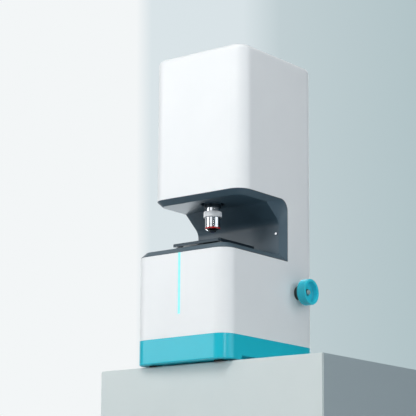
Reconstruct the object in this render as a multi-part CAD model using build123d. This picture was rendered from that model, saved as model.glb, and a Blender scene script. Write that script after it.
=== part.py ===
from build123d import *
import math
import os

os.makedirs("parts", exist_ok=True)

# All sizes are in millimetres. X is to the right, Y to the back, Z up.
# The feet stand on Z = 0 and the middle of the body is on X = 0.

# Outer body, from front to back and from side to side
body_width = 154.0
head_depth = 170.5
head_setback = 33.5
body_depth = head_depth + head_setback
corner_radius = 20.0
top_edge_radius = 7.5
wall = 3.0
half_width = body_width / 2
front_y = -body_depth / 2
rear_y = body_depth / 2
head_front_y = front_y + head_setback

# Gaps between pieces, and how far a cutter runs past a face
joint_gap = 0.1
slip_gap = 0.3
running_gap = 0.03
past = 1.0

# Stack of heights, from the bench up to the top
foot_height = 2.0
plinth_height = 32.6
lower_box_height = 112.0
deck_rise = 7.7
stage_gap = 9.2
stage_thickness = 4.0
working_distance = 17.9
nose_height = 2.0
colour_ring_height = 4.1
barrel_height = 13.9
knurl_height = 7.9
neck_height = 5.0
objective_collar_height = 4.9
objective_thread_length = 4.8
boss_proud = 0.8
cup_depth = 5.0
cup_skin = 2.0
cup_to_flange = 0.6
boss_flange_thickness = 3.4
arm_thickness = 12.0
tube_length = 78.0
rim_rise = 7.4
head_height = 200.6
plinth_top_z = foot_height + plinth_height
deck_rim_z = plinth_top_z + lower_box_height
deck_top_z = deck_rim_z + deck_rise
stage_top_z = deck_top_z + stage_gap + stage_thickness
tip_bottom_z = stage_top_z + working_distance
colour_ring_bottom_z = tip_bottom_z + nose_height
colour_ring_top_z = colour_ring_bottom_z + colour_ring_height
knurl_bottom_z = colour_ring_top_z + barrel_height
knurl_top_z = knurl_bottom_z + knurl_height
neck_top_z = knurl_top_z + neck_height
mount_bottom_z = neck_top_z + objective_collar_height
objective_thread_top_z = mount_bottom_z + objective_thread_length
ceiling_z = mount_bottom_z + boss_proud
ceiling_cup_top_z = ceiling_z + cup_depth
boss_flange_z = ceiling_cup_top_z + cup_skin + cup_to_flange
arm_bottom_z = boss_flange_z + boss_flange_thickness
arm_top_z = arm_bottom_z + arm_thickness
tube_top_z = arm_top_z + tube_length
head_rim_z = ceiling_z + rim_rise
body_height = head_rim_z + head_height

# Chain of depths, from the head's front back to the focus knob
axis_y = head_front_y + 37.7
stage_front_y = axis_y - 36.5
stage_rear_y = axis_y + 41.8
bay_wall_y = stage_rear_y + 15.0
bay_rear_edge_y = bay_wall_y + 10.0
knob_axis_y = bay_rear_edge_y + 23.5
knob_axis_z = deck_rim_z - 40.4

# Plinth and feet
foot_radius = 9.0
foot_stem_radius = 4.0
foot_edge_radius = 0.5
foot_stem_gap = 0.2
foot_x = half_width - 23.0
foot_y = rear_y - 20.0
plinth_floor_z = foot_height + wall
lip_height = 4.0
lip_thickness = 2.2
plinth_edge_radius = 1.6
recess_front_y = front_y + 33.0
recess_rear_y = rear_y - 71.0
recess_height = 6.0
recess_depth = 12.0
recess_slant = 3.0
recess_wall = 3.0
recess_lead = 0.5

# Base plate
base_plate_thickness = 3.0
base_plate_half_x = half_width - 16.5
base_plate_half_y = rear_y - 7.0
base_wing_half_x = half_width - 7.0
base_wing_rear_y = rear_y - 20.0
base_top_z = plinth_floor_z + base_plate_thickness
base_screw_x = half_width - 31.0
base_screw_y = rear_y - 42.0

# Sample bay
bay_corner_radius = 15.0
bevel = 7.5
rim_land = 0.5
slant_top_y = bay_wall_y - 28.4
slant_foot_z = ceiling_z - 22.7
slant_blend_radius = 15.0
liner_split_y = slant_top_y - 7.6
liner_skin = 2.5
liner_pocket_half_x = half_width - 17.0
liner_screw_x = half_width - 12.0
liner_screw_z = slant_foot_z - 16.3
deck_skin = 3.0
deck_rim_width = 11.0
deck_rear_web = 14.0

# Objective
ceiling_cup_radius = 16.0
tip_radius = 4.4
front_lens_radius = 3.0
cone_tip_radius = 6.6
colour_ring_radius = 10.4
colour_ring_seat_radius = 9.5
objective_body_radius = 10.2
neck_radius = 10.1
knurl_radius = 12.4
knurl_depth = 0.35
knurl_count = 64
objective_collar_radius = 11.3
objective_thread_radius = 10.0
objective_bore_radius = 6.0
groove_depth = 0.5
groove_rise = 3.2
colour_ring_inset = 2.0
knurl_chamfer = 0.6
objective_collar_chamfer = 0.4
thread_relief = 0.2
nose_chamfer = 0.5
nose_spigot = 4.0
front_lens_setback = 0.4
front_lens_thickness = 2.0
front_lens_lip = 0.6
boss_radius = 11.1
boss_flange_radius = 22.0

# Arm, tube and camera
arm_half_x = 26.0
arm_front_y = axis_y - 26.2
arm_rib = 6.0
arm_rib_reach = 38.0
arm_rib_top_z = arm_top_z + 48.0
light_path_radius = 9.0
tube_radius = 20.0
tube_bore_radius = 16.5
tube_ledge_z = arm_top_z + 4.0
tube_ledge_radius = 15.0
tube_lens_thickness = 5.0
camera_half = 25.0
camera_height = 38.0
camera_wall = 3.0
camera_corner = 4.0
camera_floor_z = tube_top_z + 12.0
board_thickness = 1.6
sensor_half = 9.0
sensor_height = 2.5

# Focus drive
gear_module = 0.8
pinion_teeth = 15
wheel_teeth = 45
pressure_angle = 20.0
tooth_backlash = 0.12
tooth_clearance = 0.2
rack_addendum = 0.65
wheel_addendum = 0.75
pinion_radius = gear_module * pinion_teeth / 2
wheel_radius = gear_module * wheel_teeth / 2
layshaft_y = knob_axis_y - pinion_radius - wheel_radius
rack_pitch_y = layshaft_y - pinion_radius
rack_half_width = 5.0
stage_travel = 6.0
rack_pinion_half_width = 6.0
rack_bottom_z = knob_axis_z - 16.2 - stage_travel
rack_top_z = knob_axis_z + 17.8
gear_face = 6.0
drive_pinion_overhang = 0.5
shaft_radius = 3.0
bearing_radius = 5.0

# Stage and its lift
slide_length = 76.0
slide_width = 26.0
slide_thickness = 1.1
insert_rim = 1.0
stage_half_x = half_width - 36.7
stage_aperture_radius = 12.0
stage_pocket_depth = 2.0
stage_corner = 3.0
stage_edge = 0.4
carriage_half_x = half_width - 35.0
carriage_front_y = stage_front_y + 3.3
carriage_rear_y = rack_pitch_y - 7.5
carriage_bottom_z = knob_axis_z - 10.2
carriage_top_z = carriage_bottom_z + 10.0
carriage_corner = 4.0
post_radius = 3.5
post_clearance = 1.0
post_x = carriage_half_x - 8.0
post_front_y = carriage_front_y + 6.0
post_rear_y = axis_y + 24.8
rod_radius = 4.0
rod_x = carriage_half_x - 9.0
rod_y = carriage_rear_y - 10.0
rod_top_z = deck_rim_z - 2.6
bridge_bottom_z = rod_top_z - 8.0
bridge_reach = 9.0
bush_radius = 7.0
bush_bottom_z = carriage_bottom_z - 14.0
bush_top_z = carriage_top_z + 1.0

# Gearbox cheeks
gear_left_x = carriage_half_x + 5.0
cheek_left_x = -16.0
cheek_right_x = gear_left_x + gear_face + 4.0
cheek_thickness = 4.0
cheek_margin = 2.0
cheek_reach = bearing_radius + cheek_margin
cheek_front_y = layshaft_y - cheek_reach
cheek_rear_y = knob_axis_y + cheek_reach
cheek_top_z = knob_axis_z + cheek_reach
cheek_foot = 12.0
cheek_foot_lead = 4.0
cheek_foot_thickness = 4.0

# Backbone
backbone_y = bay_rear_edge_y
backbone_thickness = 6.0
backbone_rear_y = backbone_y + backbone_thickness
backbone_half_x = half_width - 7.0
backbone_top_z = body_height - 32.0
backbone_window_left_x = cheek_left_x - 8.0
backbone_window_right_x = cheek_right_x + cheek_thickness + 2.0
backbone_window_top_z = knob_axis_z + wheel_radius + 7.8
bracket_thickness = 3.0
bracket_reach = 18.0
bracket_height = 32.0
bracket_left_x = 8.0 - backbone_half_x
bracket_inner_x = backbone_window_left_x - 6.0

# Light source
condenser_radius = 19.0
condenser_bore_radius = 16.0
condenser_clearance = 3.0
condenser_top_z = deck_top_z - 2.3
condenser_lens_z = condenser_top_z - 10.0
condenser_lens_thickness = 6.0
condenser_lens_edge = 2.0
condenser_ledge_radius = 14.5
condenser_ledge_thickness = 2.0
led_sink_half = 25.0
led_sink_height = 10.0
led_sink_top_z = base_top_z + led_sink_height
led_slot_count = 5
led_slot_pitch = 10.0
led_slot_half = 2.5
led_slot_depth = 6.0
source_board_gap = 1.0
led_radius = 3.5
led_height = 2.5
led_dome = 1.8

# Focus knob and collar
knob_radius = 17.75
knob_inner_x = half_width + 10.2
knob_outer_x = knob_inner_x + 12.6
knob_rib_depth = 1.1
knob_rib_trim = 0.3
knob_rib_count = 36
knob_rib_slant = 26.0
knob_rib_steps = 13
knob_edge = 1.2
knob_dish_depth = 8.0
knob_dish_radius = 13.8
knob_hub_radius = 6.0
knob_dish_corner = 1.2
knob_hub_x = knob_outer_x - 7.0
collar_radius = 9.2
collar_spigot_radius = 7.0
collar_edge = 0.8
shaft_end_x = knob_hub_x - 1.5
shaft_inner_x = gear_left_x - 1.5
knob_screw_radius = 1.5
knob_screw_head_radius = 3.3
knob_screw_head = 2.2
knob_screw_dome = 0.7
knob_screw_socket_radius = 1.1
knob_screw_socket_floor = 0.7
knob_screw_reach = 9.0
knob_screw_hole_depth = 10.0
washer_radius = 4.4
washer_thickness = 0.5

# Rear cover, connectors and switch
cover_half_x = half_width - 24.0
cover_bottom_z = plinth_top_z + 9.4
cover_top_z = body_height - 36.0
cover_corner = 5.0
cover_ledge = 5.0
cover_screw_inset = 6.0
vent_count = 9
vent_pitch = 8.0
vent_height = 3.0
vent_end_land = 0.06
vent_half_x = cover_half_x - 21.0
vent_bottom_z = cover_top_z - 96.0
connector_z = cover_bottom_z + 18.0
jack_x = 23.0 - cover_half_x
usb_x = 0.0
switch_x = cover_half_x - 21.0
jack_half_x = 6.0
jack_half_z = 6.0
jack_bore_radius = 2.75
jack_pin_radius = 1.0
usb_half_x = 7.2
usb_half_z = 3.6
usb_wall = 0.6
socket_depth = 14.0
connector_board_y = rear_y - socket_depth
connector_board_half_x = cover_half_x - 7.0
connector_board_bottom_z = cover_bottom_z + 4.0
connector_board_top_z = connector_board_bottom_z + 30.0
board_to_switch = 3.0
socket_proud = 0.6
jack_depth = 9.0
jack_pin_root = 0.5
jack_pin_setback = 0.6
usb_depth = 11.0
usb_tongue_half_x = 5.6
usb_tongue_root = 0.5
usb_tongue_setback = 1.0
usb_tongue_low = 0.2
usb_tongue_high = 2.0
switch_half_x = 6.5
switch_half_z = 9.5
switch_flange = 1.5
switch_flange_thickness = 1.5
switch_depth = 13.0
switch_edge = 0.5
rocker_radius = 7.0
rocker_half_x = 4.5
rocker_pivot_y = rear_y - 1.0
rocker_tilt = 10.0
rocker_pin_radius = 1.25
rocker_pin_reach = 1.0
rocker_tip_share = 0.94
rocker_wing_root = 0.5
rocker_valley = 1.2
rocker_arc_steps = 24

# Main board
main_board_half_x = 50.0
main_board_height = 140.0
main_board_top_z = backbone_top_z - 24.0
main_board_bottom_z = main_board_top_z - main_board_height
standoff_length = 10.0
standoff_radius = 3.0
stud_reach = 5.0
nut_height = 2.4
board_hole_inset = 6.0
chip_half = 14.0
chip_height = 2.0
fin_count = 7
fin_thickness = 1.5
sink_height = 14.0
sink_base = 3.0
sink_overhang = 2.0
plug_strip_left_x = 22.0
plug_strip_right_x = 40.0
plug_strip_height = 6.0
plug_strip_low = 14.0
plug_strip_high = 22.0
coil_left_x = -40.0
coil_right_x = -26.0
coil_height = 9.0
coil_low = 12.0
coil_high = 40.0
capacitor_left_x = 24.0
capacitor_right_x = 34.0
capacitor_radius = 3.5
capacitor_height = 8.0
capacitor_drop = 24.0

# Light bar
light_bar_half_x = 1.9
light_bar_bottom_z = plinth_top_z + 30.2
light_bar_flange = 2.2
light_bar_rear_y = front_y + wall + 3.0
light_board_half_x = 5.0
light_board_drop = 4.0

# Screws
m3_radius = 1.5
m3_head_radius = 2.75
m3_head = 1.8
m4_radius = 2.0
m4_head_radius = 3.6
m4_head = 1.6
liner_screw_head_radius = 2.1
liner_screw_head = 1.2
liner_screw_dome = 0.6
liner_screw_end_gap = 1.0
cover_screw_head_radius = m3_head_radius - 0.5
cover_screw_sink = 0.2
m3_slot_half_length = 1.6
m3_slot_half_width = 0.3
m3_slot_depth = 0.9
m4_slot_half_length = 2.2
m4_slot_half_width = 0.5
m4_slot_depth = 0.8


def block(x0, x1, y0, y1, z0, z1):
    """A box between two corners."""
    middle = Pos((x0 + x1) / 2, (y0 + y1) / 2, (z0 + z1) / 2)
    return middle * Box(x1 - x0, y1 - y0, z1 - z0)


def rod_along_z(radius, x, y, z0, z1):
    """A round bar that stands up."""
    return Pos(x, y, (z0 + z1) / 2) * Cylinder(radius, z1 - z0)


def rod_along_x(radius, x0, x1, y, z):
    """A round bar that lies from left to right."""
    return Pos((x0 + x1) / 2, y, z) * Rot(0, 90, 0) * Cylinder(radius, x1 - x0)


def rod_along_y(radius, x, y0, y1, z):
    """A round bar that lies from front to back."""
    return Pos(x, (y0 + y1) / 2, z) * Rot(90, 0, 0) * Cylinder(radius, y1 - y0)


def footprint(half_x, y0, y1, front_radius, rear_radius, z):
    """A flat outline with rounded front and rear corners."""
    k = math.sqrt(0.5)
    f = front_radius
    r = rear_radius
    edges = [Line((-half_x + f, y0, z), (half_x - f, y0, z))]
    if f > 0:
        middle = (half_x - f + f * k, y0 + f - f * k, z)
        edges.append(ThreePointArc((half_x - f, y0, z), middle, (half_x, y0 + f, z)))
    edges.append(Line((half_x, y0 + f, z), (half_x, y1 - r, z)))
    if r > 0:
        middle = (half_x - r + r * k, y1 - r + r * k, z)
        edges.append(ThreePointArc((half_x, y1 - r, z), middle, (half_x - r, y1, z)))
    edges.append(Line((half_x - r, y1, z), (-half_x + r, y1, z)))
    if r > 0:
        middle = (-half_x + r - r * k, y1 - r + r * k, z)
        edges.append(ThreePointArc((-half_x + r, y1, z), middle, (-half_x, y1 - r, z)))
    edges.append(Line((-half_x, y1 - r, z), (-half_x, y0 + f, z)))
    if f > 0:
        middle = (-half_x + f - f * k, y0 + f - f * k, z)
        edges.append(ThreePointArc((-half_x, y0 + f, z), middle, (-half_x + f, y0, z)))
    return make_face(edges)


def slab(half_x, y0, y1, front_radius, rear_radius, z0, z1):
    """A footprint with height."""
    face = footprint(half_x, y0, y1, front_radius, rear_radius, z0)
    return extrude(face, amount=z1 - z0, dir=(0, 0, 1))


def side_prism(points, x0, x1):
    """A side view polygon, as (y, z) points, drawn out from left to right."""
    face = make_face(Polyline(*[(x0, y, z) for y, z in points], close=True))
    return extrude(face, amount=x1 - x0, dir=(1, 0, 0))


def turned(points, x, y):
    """A turned piece from (radius, z) points, on an upright axis."""
    face = make_face(Polyline(*[(r, 0, z) for r, z in points], close=True))
    return Pos(x, y, 0) * revolve(face, axis=Axis.Z)


def biggest(shape):
    """The largest solid of a shape."""
    return sorted(shape.solids(), key=lambda s: s.volume)[-1]


def group(shapes):
    """Separate solids that share one node."""
    return Compound(children=[s for shape in shapes for s in shape.solids()])


# Bay shapes

def bay_cut():
    """The opening of the bay through the side panels and the front."""
    edge = bay_rear_edge_y
    low = deck_rim_z
    high = head_rim_z
    far = front_y - past
    side = half_width + past
    box = side_prism([(far, low), (edge, low), (edge, high), (far, high)], -side, side)
    corner = box.edges().filter_by(Axis.X).sort_by_distance((0, edge, high))[0]
    return fillet(corner, bay_corner_radius)


def inner_outline(x):
    """The bay's inner outline in side view, at one X."""
    run = bay_wall_y - slant_top_y
    drop = ceiling_z - slant_foot_z
    length = math.hypot(run, drop)
    turn = math.pi / 2 - math.atan2(drop, run)
    tangent = slant_blend_radius * math.tan(turn / 2)
    blend_start = (bay_wall_y - run / length * tangent, slant_foot_z + drop / length * tangent)
    blend_end = (bay_wall_y, slant_foot_z - tangent)
    centre = (bay_wall_y - slant_blend_radius, blend_end[1])
    half = turn / 2
    middle = (
        centre[0] + slant_blend_radius * math.cos(half),
        centre[1] + slant_blend_radius * math.sin(half),
    )
    a = (x, liner_split_y, ceiling_z)
    b = (x, slant_top_y, ceiling_z)
    c = (x, *blend_start)
    m = (x, *middle)
    d = (x, *blend_end)
    e = (x, bay_wall_y, deck_top_z)
    f = (x, liner_split_y, deck_top_z)
    return make_face([Line(a, b), Line(b, c), ThreePointArc(c, m, d), Line(d, e), Line(e, f), Line(f, a)])


def outer_outline(x):
    """The bay's outer outline in side view, a narrow land inside the panel's edge."""
    k = math.sqrt(0.5)
    top = head_rim_z - rim_land
    rear = bay_rear_edge_y - rim_land
    r = bay_corner_radius - rim_land
    low = deck_rim_z + rim_land
    a = (x, liner_split_y, top)
    b = (x, rear - r, top)
    m = (x, rear - r + r * k, top - r + r * k)
    c = (x, rear, top - r)
    d = (x, rear, slant_foot_z - slant_blend_radius / 2)
    e = (x, rear, low)
    f = (x, liner_split_y, low)
    return make_face([Line(a, b), ThreePointArc(b, m, c), Line(c, d), Line(d, e), Line(e, f), Line(f, a)])


def full_deck():
    """The deck's outside before its underside is hollowed."""
    land_z = deck_rim_z + rim_land
    inner = corner_radius - bevel
    land = slab(half_width, front_y, bay_rear_edge_y, corner_radius, 0, deck_rim_z, land_z)
    low = footprint(half_width, front_y, bay_rear_edge_y, corner_radius, 0, land_z)
    high = footprint(half_width - bevel, front_y + bevel, bay_wall_y, inner, 0, deck_top_z)
    return land + loft([low, high], ruled=True)


# Housing and covers

def make_main_housing():
    """White moulded shell: lower front box, rear column and head in one piece."""
    split_z = (deck_rim_z + head_rim_z) / 2
    lower = slab(half_width, front_y, rear_y, corner_radius, corner_radius, plinth_top_z, split_z)
    head = slab(half_width, head_front_y, rear_y, corner_radius, corner_radius, split_z, body_height)
    head = fillet(head.edges().group_by(Axis.Z)[-1], top_edge_radius)
    inner_x = half_width - wall
    inner_radius = corner_radius - wall
    lower_room = slab(
        inner_x, front_y + wall, rear_y - wall, inner_radius, inner_radius, plinth_top_z - past, split_z
    )
    head_room = slab(
        inner_x, head_front_y + wall, rear_y - wall, inner_radius, inner_radius, split_z, body_height - wall
    )
    head_room = fillet(head_room.edges().group_by(Axis.Z)[-1], top_edge_radius - wall)
    shell = (lower + head) - (lower_room + head_room) - bay_cut()
    frame_margin = cover_ledge
    frame = block(
        -cover_half_x - frame_margin, cover_half_x + frame_margin, rear_y - 2 * wall, rear_y - wall,
        cover_bottom_z - frame_margin, cover_top_z + frame_margin,
    )
    shell = shell + frame
    shell = shell - block(
        -cover_half_x + cover_ledge, cover_half_x - cover_ledge, rear_y - 3 * wall, rear_y + past,
        cover_bottom_z + cover_ledge, cover_top_z - cover_ledge,
    )
    seat = block(
        -cover_half_x - slip_gap, cover_half_x + slip_gap, rear_y - wall, rear_y + past,
        cover_bottom_z - slip_gap, cover_top_z + slip_gap,
    )
    seat = fillet(seat.edges().filter_by(Axis.Y), cover_corner + slip_gap)
    shell = shell - seat
    for x, z in cover_screw_places():
        shell = shell - rod_along_y(m3_radius + joint_gap, x, rear_y - 2 * wall - past, rear_y, z)
    shell = shell - block(
        -light_bar_half_x - joint_gap, light_bar_half_x + joint_gap, front_y - past, front_y + wall + past,
        light_bar_bottom_z - joint_gap, deck_rim_z + past,
    )
    shell = shell - rod_along_x(
        collar_spigot_radius + joint_gap, half_width - wall - past, half_width + past,
        knob_axis_y, knob_axis_z,
    )
    return biggest(shell)


def cover_screw_places():
    """Centres of the rear cover's six screws."""
    x = cover_half_x - cover_ledge / 2
    low = cover_bottom_z + cover_screw_inset
    high = cover_top_z - cover_screw_inset
    return [(s * x, z) for s in (-1, 1) for z in (low, (low + high) / 2, high)]


def make_rear_cover():
    """Flat rear cover with vents and the openings for sockets and switch."""
    cover = block(-cover_half_x, cover_half_x, rear_y - wall, rear_y, cover_bottom_z, cover_top_z)
    cover = fillet(cover.edges().filter_by(Axis.Y), cover_corner)
    for i in range(vent_count):
        z = vent_bottom_z + i * vent_pitch
        slot = block(-vent_half_x, vent_half_x, rear_y - wall - past, rear_y + past, z, z + vent_height)
        cover = cover - fillet(slot.edges().filter_by(Axis.Y), vent_height / 2 - vent_end_land)
    head_room = cover_screw_head_radius + joint_gap
    for x, z in cover_screw_places():
        cover = cover - rod_along_y(m3_radius + joint_gap, x, rear_y - wall - past, rear_y + past, z)
        cover = cover - rod_along_y(head_room, x, rear_y - m3_head, rear_y + past, z)
    cover = cover - connector_hole(jack_x, jack_half_x, jack_half_z)
    cover = cover - connector_hole(usb_x, usb_half_x, usb_half_z)
    cover = cover - connector_hole(switch_x, switch_half_x, switch_half_z)
    return cover


def connector_hole(x, half_x, half_z):
    """Cutter for one opening in the rear cover."""
    g = joint_gap
    return block(x - half_x - g, x + half_x + g, rear_y - wall - past, rear_y + past,
                 connector_z - half_z - g, connector_z + half_z + g)


def make_rear_cover_screws():
    """Six small screws that hold the rear cover."""
    screws = []
    for x, z in cover_screw_places():
        head = rod_along_y(cover_screw_head_radius, x, rear_y - m3_head, rear_y - cover_screw_sink, z)
        shank = rod_along_y(m3_radius, x, rear_y - 2 * wall, rear_y - m3_head, z)
        slot = block(
            x - m3_slot_half_length, x + m3_slot_half_length, rear_y - m3_slot_depth, rear_y,
            z - m3_slot_half_width, z + m3_slot_half_width,
        )
        screws.append(head + shank - slot)
    return group(screws)


def make_bay_liner():
    """Dark moulded liner: bay ceiling, slant and rear wall with a bevelled rim."""
    far_y = head_front_y - past
    prism = bay_cut() & block(-half_width, half_width, liner_split_y, bay_rear_edge_y, deck_rim_z, head_rim_z)
    inside = extrude(inner_outline(-half_width + bevel), amount=body_width - 2 * bevel, dir=(1, 0, 0))
    right_flare = loft([inner_outline(half_width - bevel), outer_outline(half_width)], ruled=True)
    left_flare = loft([inner_outline(-half_width + bevel), outer_outline(-half_width)], ruled=True)
    rear = prism - inside - right_flare - left_flare - full_deck()
    land_z = head_rim_z - rim_land
    land = slab(half_width, head_front_y, liner_split_y, corner_radius, 0, land_z, head_rim_z)
    high = footprint(half_width, head_front_y, liner_split_y, corner_radius, 0, land_z)
    low = footprint(
        half_width - bevel, head_front_y + bevel, liner_split_y, corner_radius - bevel, 0, ceiling_z
    )
    front = land + loft([low, high], ruled=True)
    liner = rear + front
    skin_z = ceiling_z + liner_skin
    skin_y = bay_wall_y + liner_skin
    slope = (ceiling_z - slant_foot_z) / (bay_wall_y - slant_top_y)
    shift = liner_skin * (math.sqrt(1 + slope * slope) - 1) / slope
    foot_z = skin_z - slope * (skin_y - slant_top_y - shift)
    pocket = side_prism(
        [
            (head_front_y + 2 * bevel, skin_z), (slant_top_y + shift, skin_z), (skin_y, foot_z),
            (skin_y, deck_rim_z - past), (bay_rear_edge_y + past, deck_rim_z - past),
            (bay_rear_edge_y + past, head_rim_z + past), (head_front_y + 2 * bevel, head_rim_z + past),
        ],
        -liner_pocket_half_x, liner_pocket_half_x,
    )
    liner = liner - pocket
    cup_top = ceiling_cup_top_z + cup_skin
    liner = liner + rod_along_z(ceiling_cup_radius + liner_skin, 0, axis_y, ceiling_z, cup_top)
    liner = liner - rod_along_z(ceiling_cup_radius, 0, axis_y, ceiling_z - past, ceiling_cup_top_z)
    liner = liner - rod_along_z(boss_radius + slip_gap, 0, axis_y, ceiling_z - past, cup_top + past)
    for x in (-liner_screw_x, liner_screw_x):
        liner = liner - rod_along_y(m3_radius + joint_gap, x, far_y, bay_rear_edge_y + past, liner_screw_z)
    return biggest(liner)


def make_liner_screws():
    """Two bright screws that hold the liner to the backbone."""
    screws = []
    screw_front_y = bay_wall_y - liner_screw_head
    for x in (-liner_screw_x, liner_screw_x):
        head = rod_along_y(liner_screw_head_radius, x, screw_front_y, bay_wall_y, liner_screw_z)
        head = fillet(head.edges().group_by(Axis.Y)[0], liner_screw_dome)
        shank = rod_along_y(m3_radius, x, bay_wall_y, backbone_rear_y - liner_screw_end_gap, liner_screw_z)
        screws.append(head + shank)
    return group(screws)


def make_stage_deck():
    """Dark deck that closes the lower front box, with a bevelled rim."""
    deck = full_deck()
    reach = deck_rim_width
    deck = deck - block(
        -half_width + reach, half_width - reach, front_y + reach, bay_rear_edge_y - deck_rear_web,
        deck_rim_z - past, deck_top_z - deck_skin,
    )
    deck = deck - rod_along_z(condenser_radius + slip_gap, 0, axis_y, deck_rim_z, deck_top_z + past)
    for x, y in post_places():
        deck = deck - rod_along_z(post_radius + post_clearance, x, y, deck_rim_z, deck_top_z + past)
    return deck


# Base

def make_base_plinth():
    """Teal moulded tray with a lip inside the housing and two finger recesses."""
    outer = slab(half_width, front_y, rear_y, corner_radius, corner_radius, foot_height, plinth_top_z)
    outer = fillet(outer.edges().group_by(Axis.Z)[0], plinth_edge_radius)
    inner_x = half_width - wall
    inner_radius = corner_radius - wall
    room = slab(
        inner_x, front_y + wall, rear_y - wall, inner_radius, inner_radius,
        plinth_floor_z, plinth_top_z + past,
    )
    tray = outer - room
    lip_x = inner_x - joint_gap
    lip_radius = inner_radius - joint_gap
    lip_y = rear_y - wall - joint_gap
    bore_x = lip_x - lip_thickness
    bore_radius = lip_radius - lip_thickness
    bore_y = lip_y - lip_thickness
    lip_low = plinth_top_z - 2 * lip_height
    lip = slab(lip_x, -lip_y, lip_y, lip_radius, lip_radius, lip_low, plinth_top_z + lip_height)
    backing = slab(inner_x, front_y + wall, rear_y - wall, inner_radius, inner_radius, lip_low, plinth_top_z)
    lip = lip + backing
    lip = lip - slab(
        bore_x, -bore_y, bore_y, bore_radius, bore_radius, lip_low - past, plinth_top_z + lip_height + past
    )
    tray = tray + lip
    for side in (-1, 1):
        tray = tray + recess_pocket(side)
    for side in (-1, 1):
        tray = tray - recess_cut(side)
    for x, y in foot_places():
        tray = tray - rod_along_z(foot_stem_radius + joint_gap, x, y, 0, plinth_floor_z + past)
    for x, y in base_screw_places():
        tray = tray - rod_along_z(m4_radius + joint_gap, x, y, 0, plinth_floor_z + past)
    return biggest(tray)


def recess_pocket(side):
    """Solid walls round one finger recess."""
    inner = half_width - recess_depth - recess_wall
    x0, x1 = sorted((side * inner, side * (half_width - wall)))
    top = foot_height + recess_height + recess_wall
    return block(x0, x1, recess_front_y - recess_wall, recess_rear_y + recess_wall, foot_height, top)


def recess_cut(side):
    """The room of one finger recess, with slanted ends."""
    top = foot_height + recess_height
    x0, x1 = sorted((side * (half_width - recess_depth), side * (half_width + past)))
    points = [
        (recess_front_y - recess_lead, foot_height - past), (recess_front_y, foot_height),
        (recess_front_y + recess_slant, top), (recess_rear_y - recess_slant, top),
        (recess_rear_y, foot_height), (recess_rear_y + recess_lead, foot_height - past),
    ]
    return side_prism(points, x0, x1)


def foot_places():
    """Centres of the four feet."""
    return [(x, y) for x in (-foot_x, foot_x) for y in (-foot_y, foot_y)]


def base_screw_places():
    """Centres of the four screws between plinth and base plate."""
    return [(x, y) for x in (-base_screw_x, base_screw_x) for y in (-base_screw_y, base_screw_y)]


def make_feet():
    """Four rubber feet with stems in the plinth's floor."""
    feet = []
    for x, y in foot_places():
        pad = rod_along_z(foot_radius, x, y, 0, foot_height)
        pad = fillet(pad.edges().group_by(Axis.Z)[0], foot_edge_radius)
        stem = rod_along_z(foot_stem_radius, x, y, foot_height, plinth_floor_z - foot_stem_gap)
        feet.append(pad + stem)
    return group(feet)


def make_base_plate():
    """Aluminium base plate that carries the works."""
    plate = block(
        -base_plate_half_x, base_plate_half_x, -base_plate_half_y, base_plate_half_y,
        plinth_floor_z, base_top_z,
    )
    plate = plate + block(
        -base_wing_half_x, base_wing_half_x, backbone_y, base_wing_rear_y, plinth_floor_z, base_top_z
    )
    for x, y in base_screw_places():
        plate = plate - rod_along_z(m4_radius + running_gap, x, y, plinth_floor_z - past, base_top_z + past)
    rod_hole = rod_radius + running_gap
    for x in (-rod_x, rod_x):
        plate = plate - rod_along_z(rod_hole, x, rod_y, plinth_floor_z - past, base_top_z + past)
    return plate


def make_base_screws():
    """Four screws from below, through the plinth into the base plate."""
    screws = []
    for x, y in base_screw_places():
        head = rod_along_z(m4_head_radius, x, y, foot_height - m4_head, foot_height)
        shank = rod_along_z(m4_radius, x, y, foot_height, base_top_z)
        slot = block(
            x - m4_slot_half_length, x + m4_slot_half_length, y - m4_slot_half_width, y + m4_slot_half_width,
            0, foot_height - m4_head + m4_slot_depth,
        )
        screws.append(head + shank - slot)
    return group(screws)


# Backbone and head

def make_backbone_plate():
    """Upright aluminium plate behind the bay."""
    plate = block(-backbone_half_x, backbone_half_x, backbone_y, backbone_rear_y, base_top_z, backbone_top_z)
    plate = plate - block(
        backbone_window_left_x, backbone_window_right_x, backbone_y - past, backbone_rear_y + past,
        base_top_z - past, backbone_window_top_z,
    )
    hole = m3_radius + running_gap
    for x in (-liner_screw_x, liner_screw_x):
        plate = plate - rod_along_y(hole, x, backbone_y - past, backbone_rear_y + past, liner_screw_z)
    for x, z in board_hole_places():
        plate = plate - rod_along_y(hole, x, backbone_y - past, backbone_rear_y + past, z)
    return plate


def make_backbone_brackets():
    """Two angle brackets that stand the backbone on the base plate."""
    brackets = []
    for x0, x1 in ((bracket_left_x, bracket_inner_x), (backbone_window_right_x, backbone_half_x)):
        foot = block(x0, x1, backbone_rear_y, backbone_rear_y + bracket_reach,
                     base_top_z, base_top_z + bracket_thickness)
        upright = block(x0, x1, backbone_rear_y, backbone_rear_y + bracket_thickness,
                        base_top_z, base_top_z + bracket_height)
        brackets.append(foot + upright)
    return group(brackets)


def make_head_arm():
    """Arm from the backbone that carries objective, tube lens and camera."""
    arm = block(-arm_half_x, arm_half_x, arm_front_y, backbone_y, arm_bottom_z, arm_top_z)
    reach = backbone_y - arm_rib_reach
    triangle = [(reach, arm_top_z), (backbone_y, arm_top_z), (backbone_y, arm_rib_top_z)]
    for x in (-arm_half_x, arm_half_x - arm_rib):
        arm = arm + side_prism(triangle, x, x + arm_rib)
    return arm - rod_along_z(light_path_radius, 0, axis_y, arm_bottom_z - past, arm_top_z + past)


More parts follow.
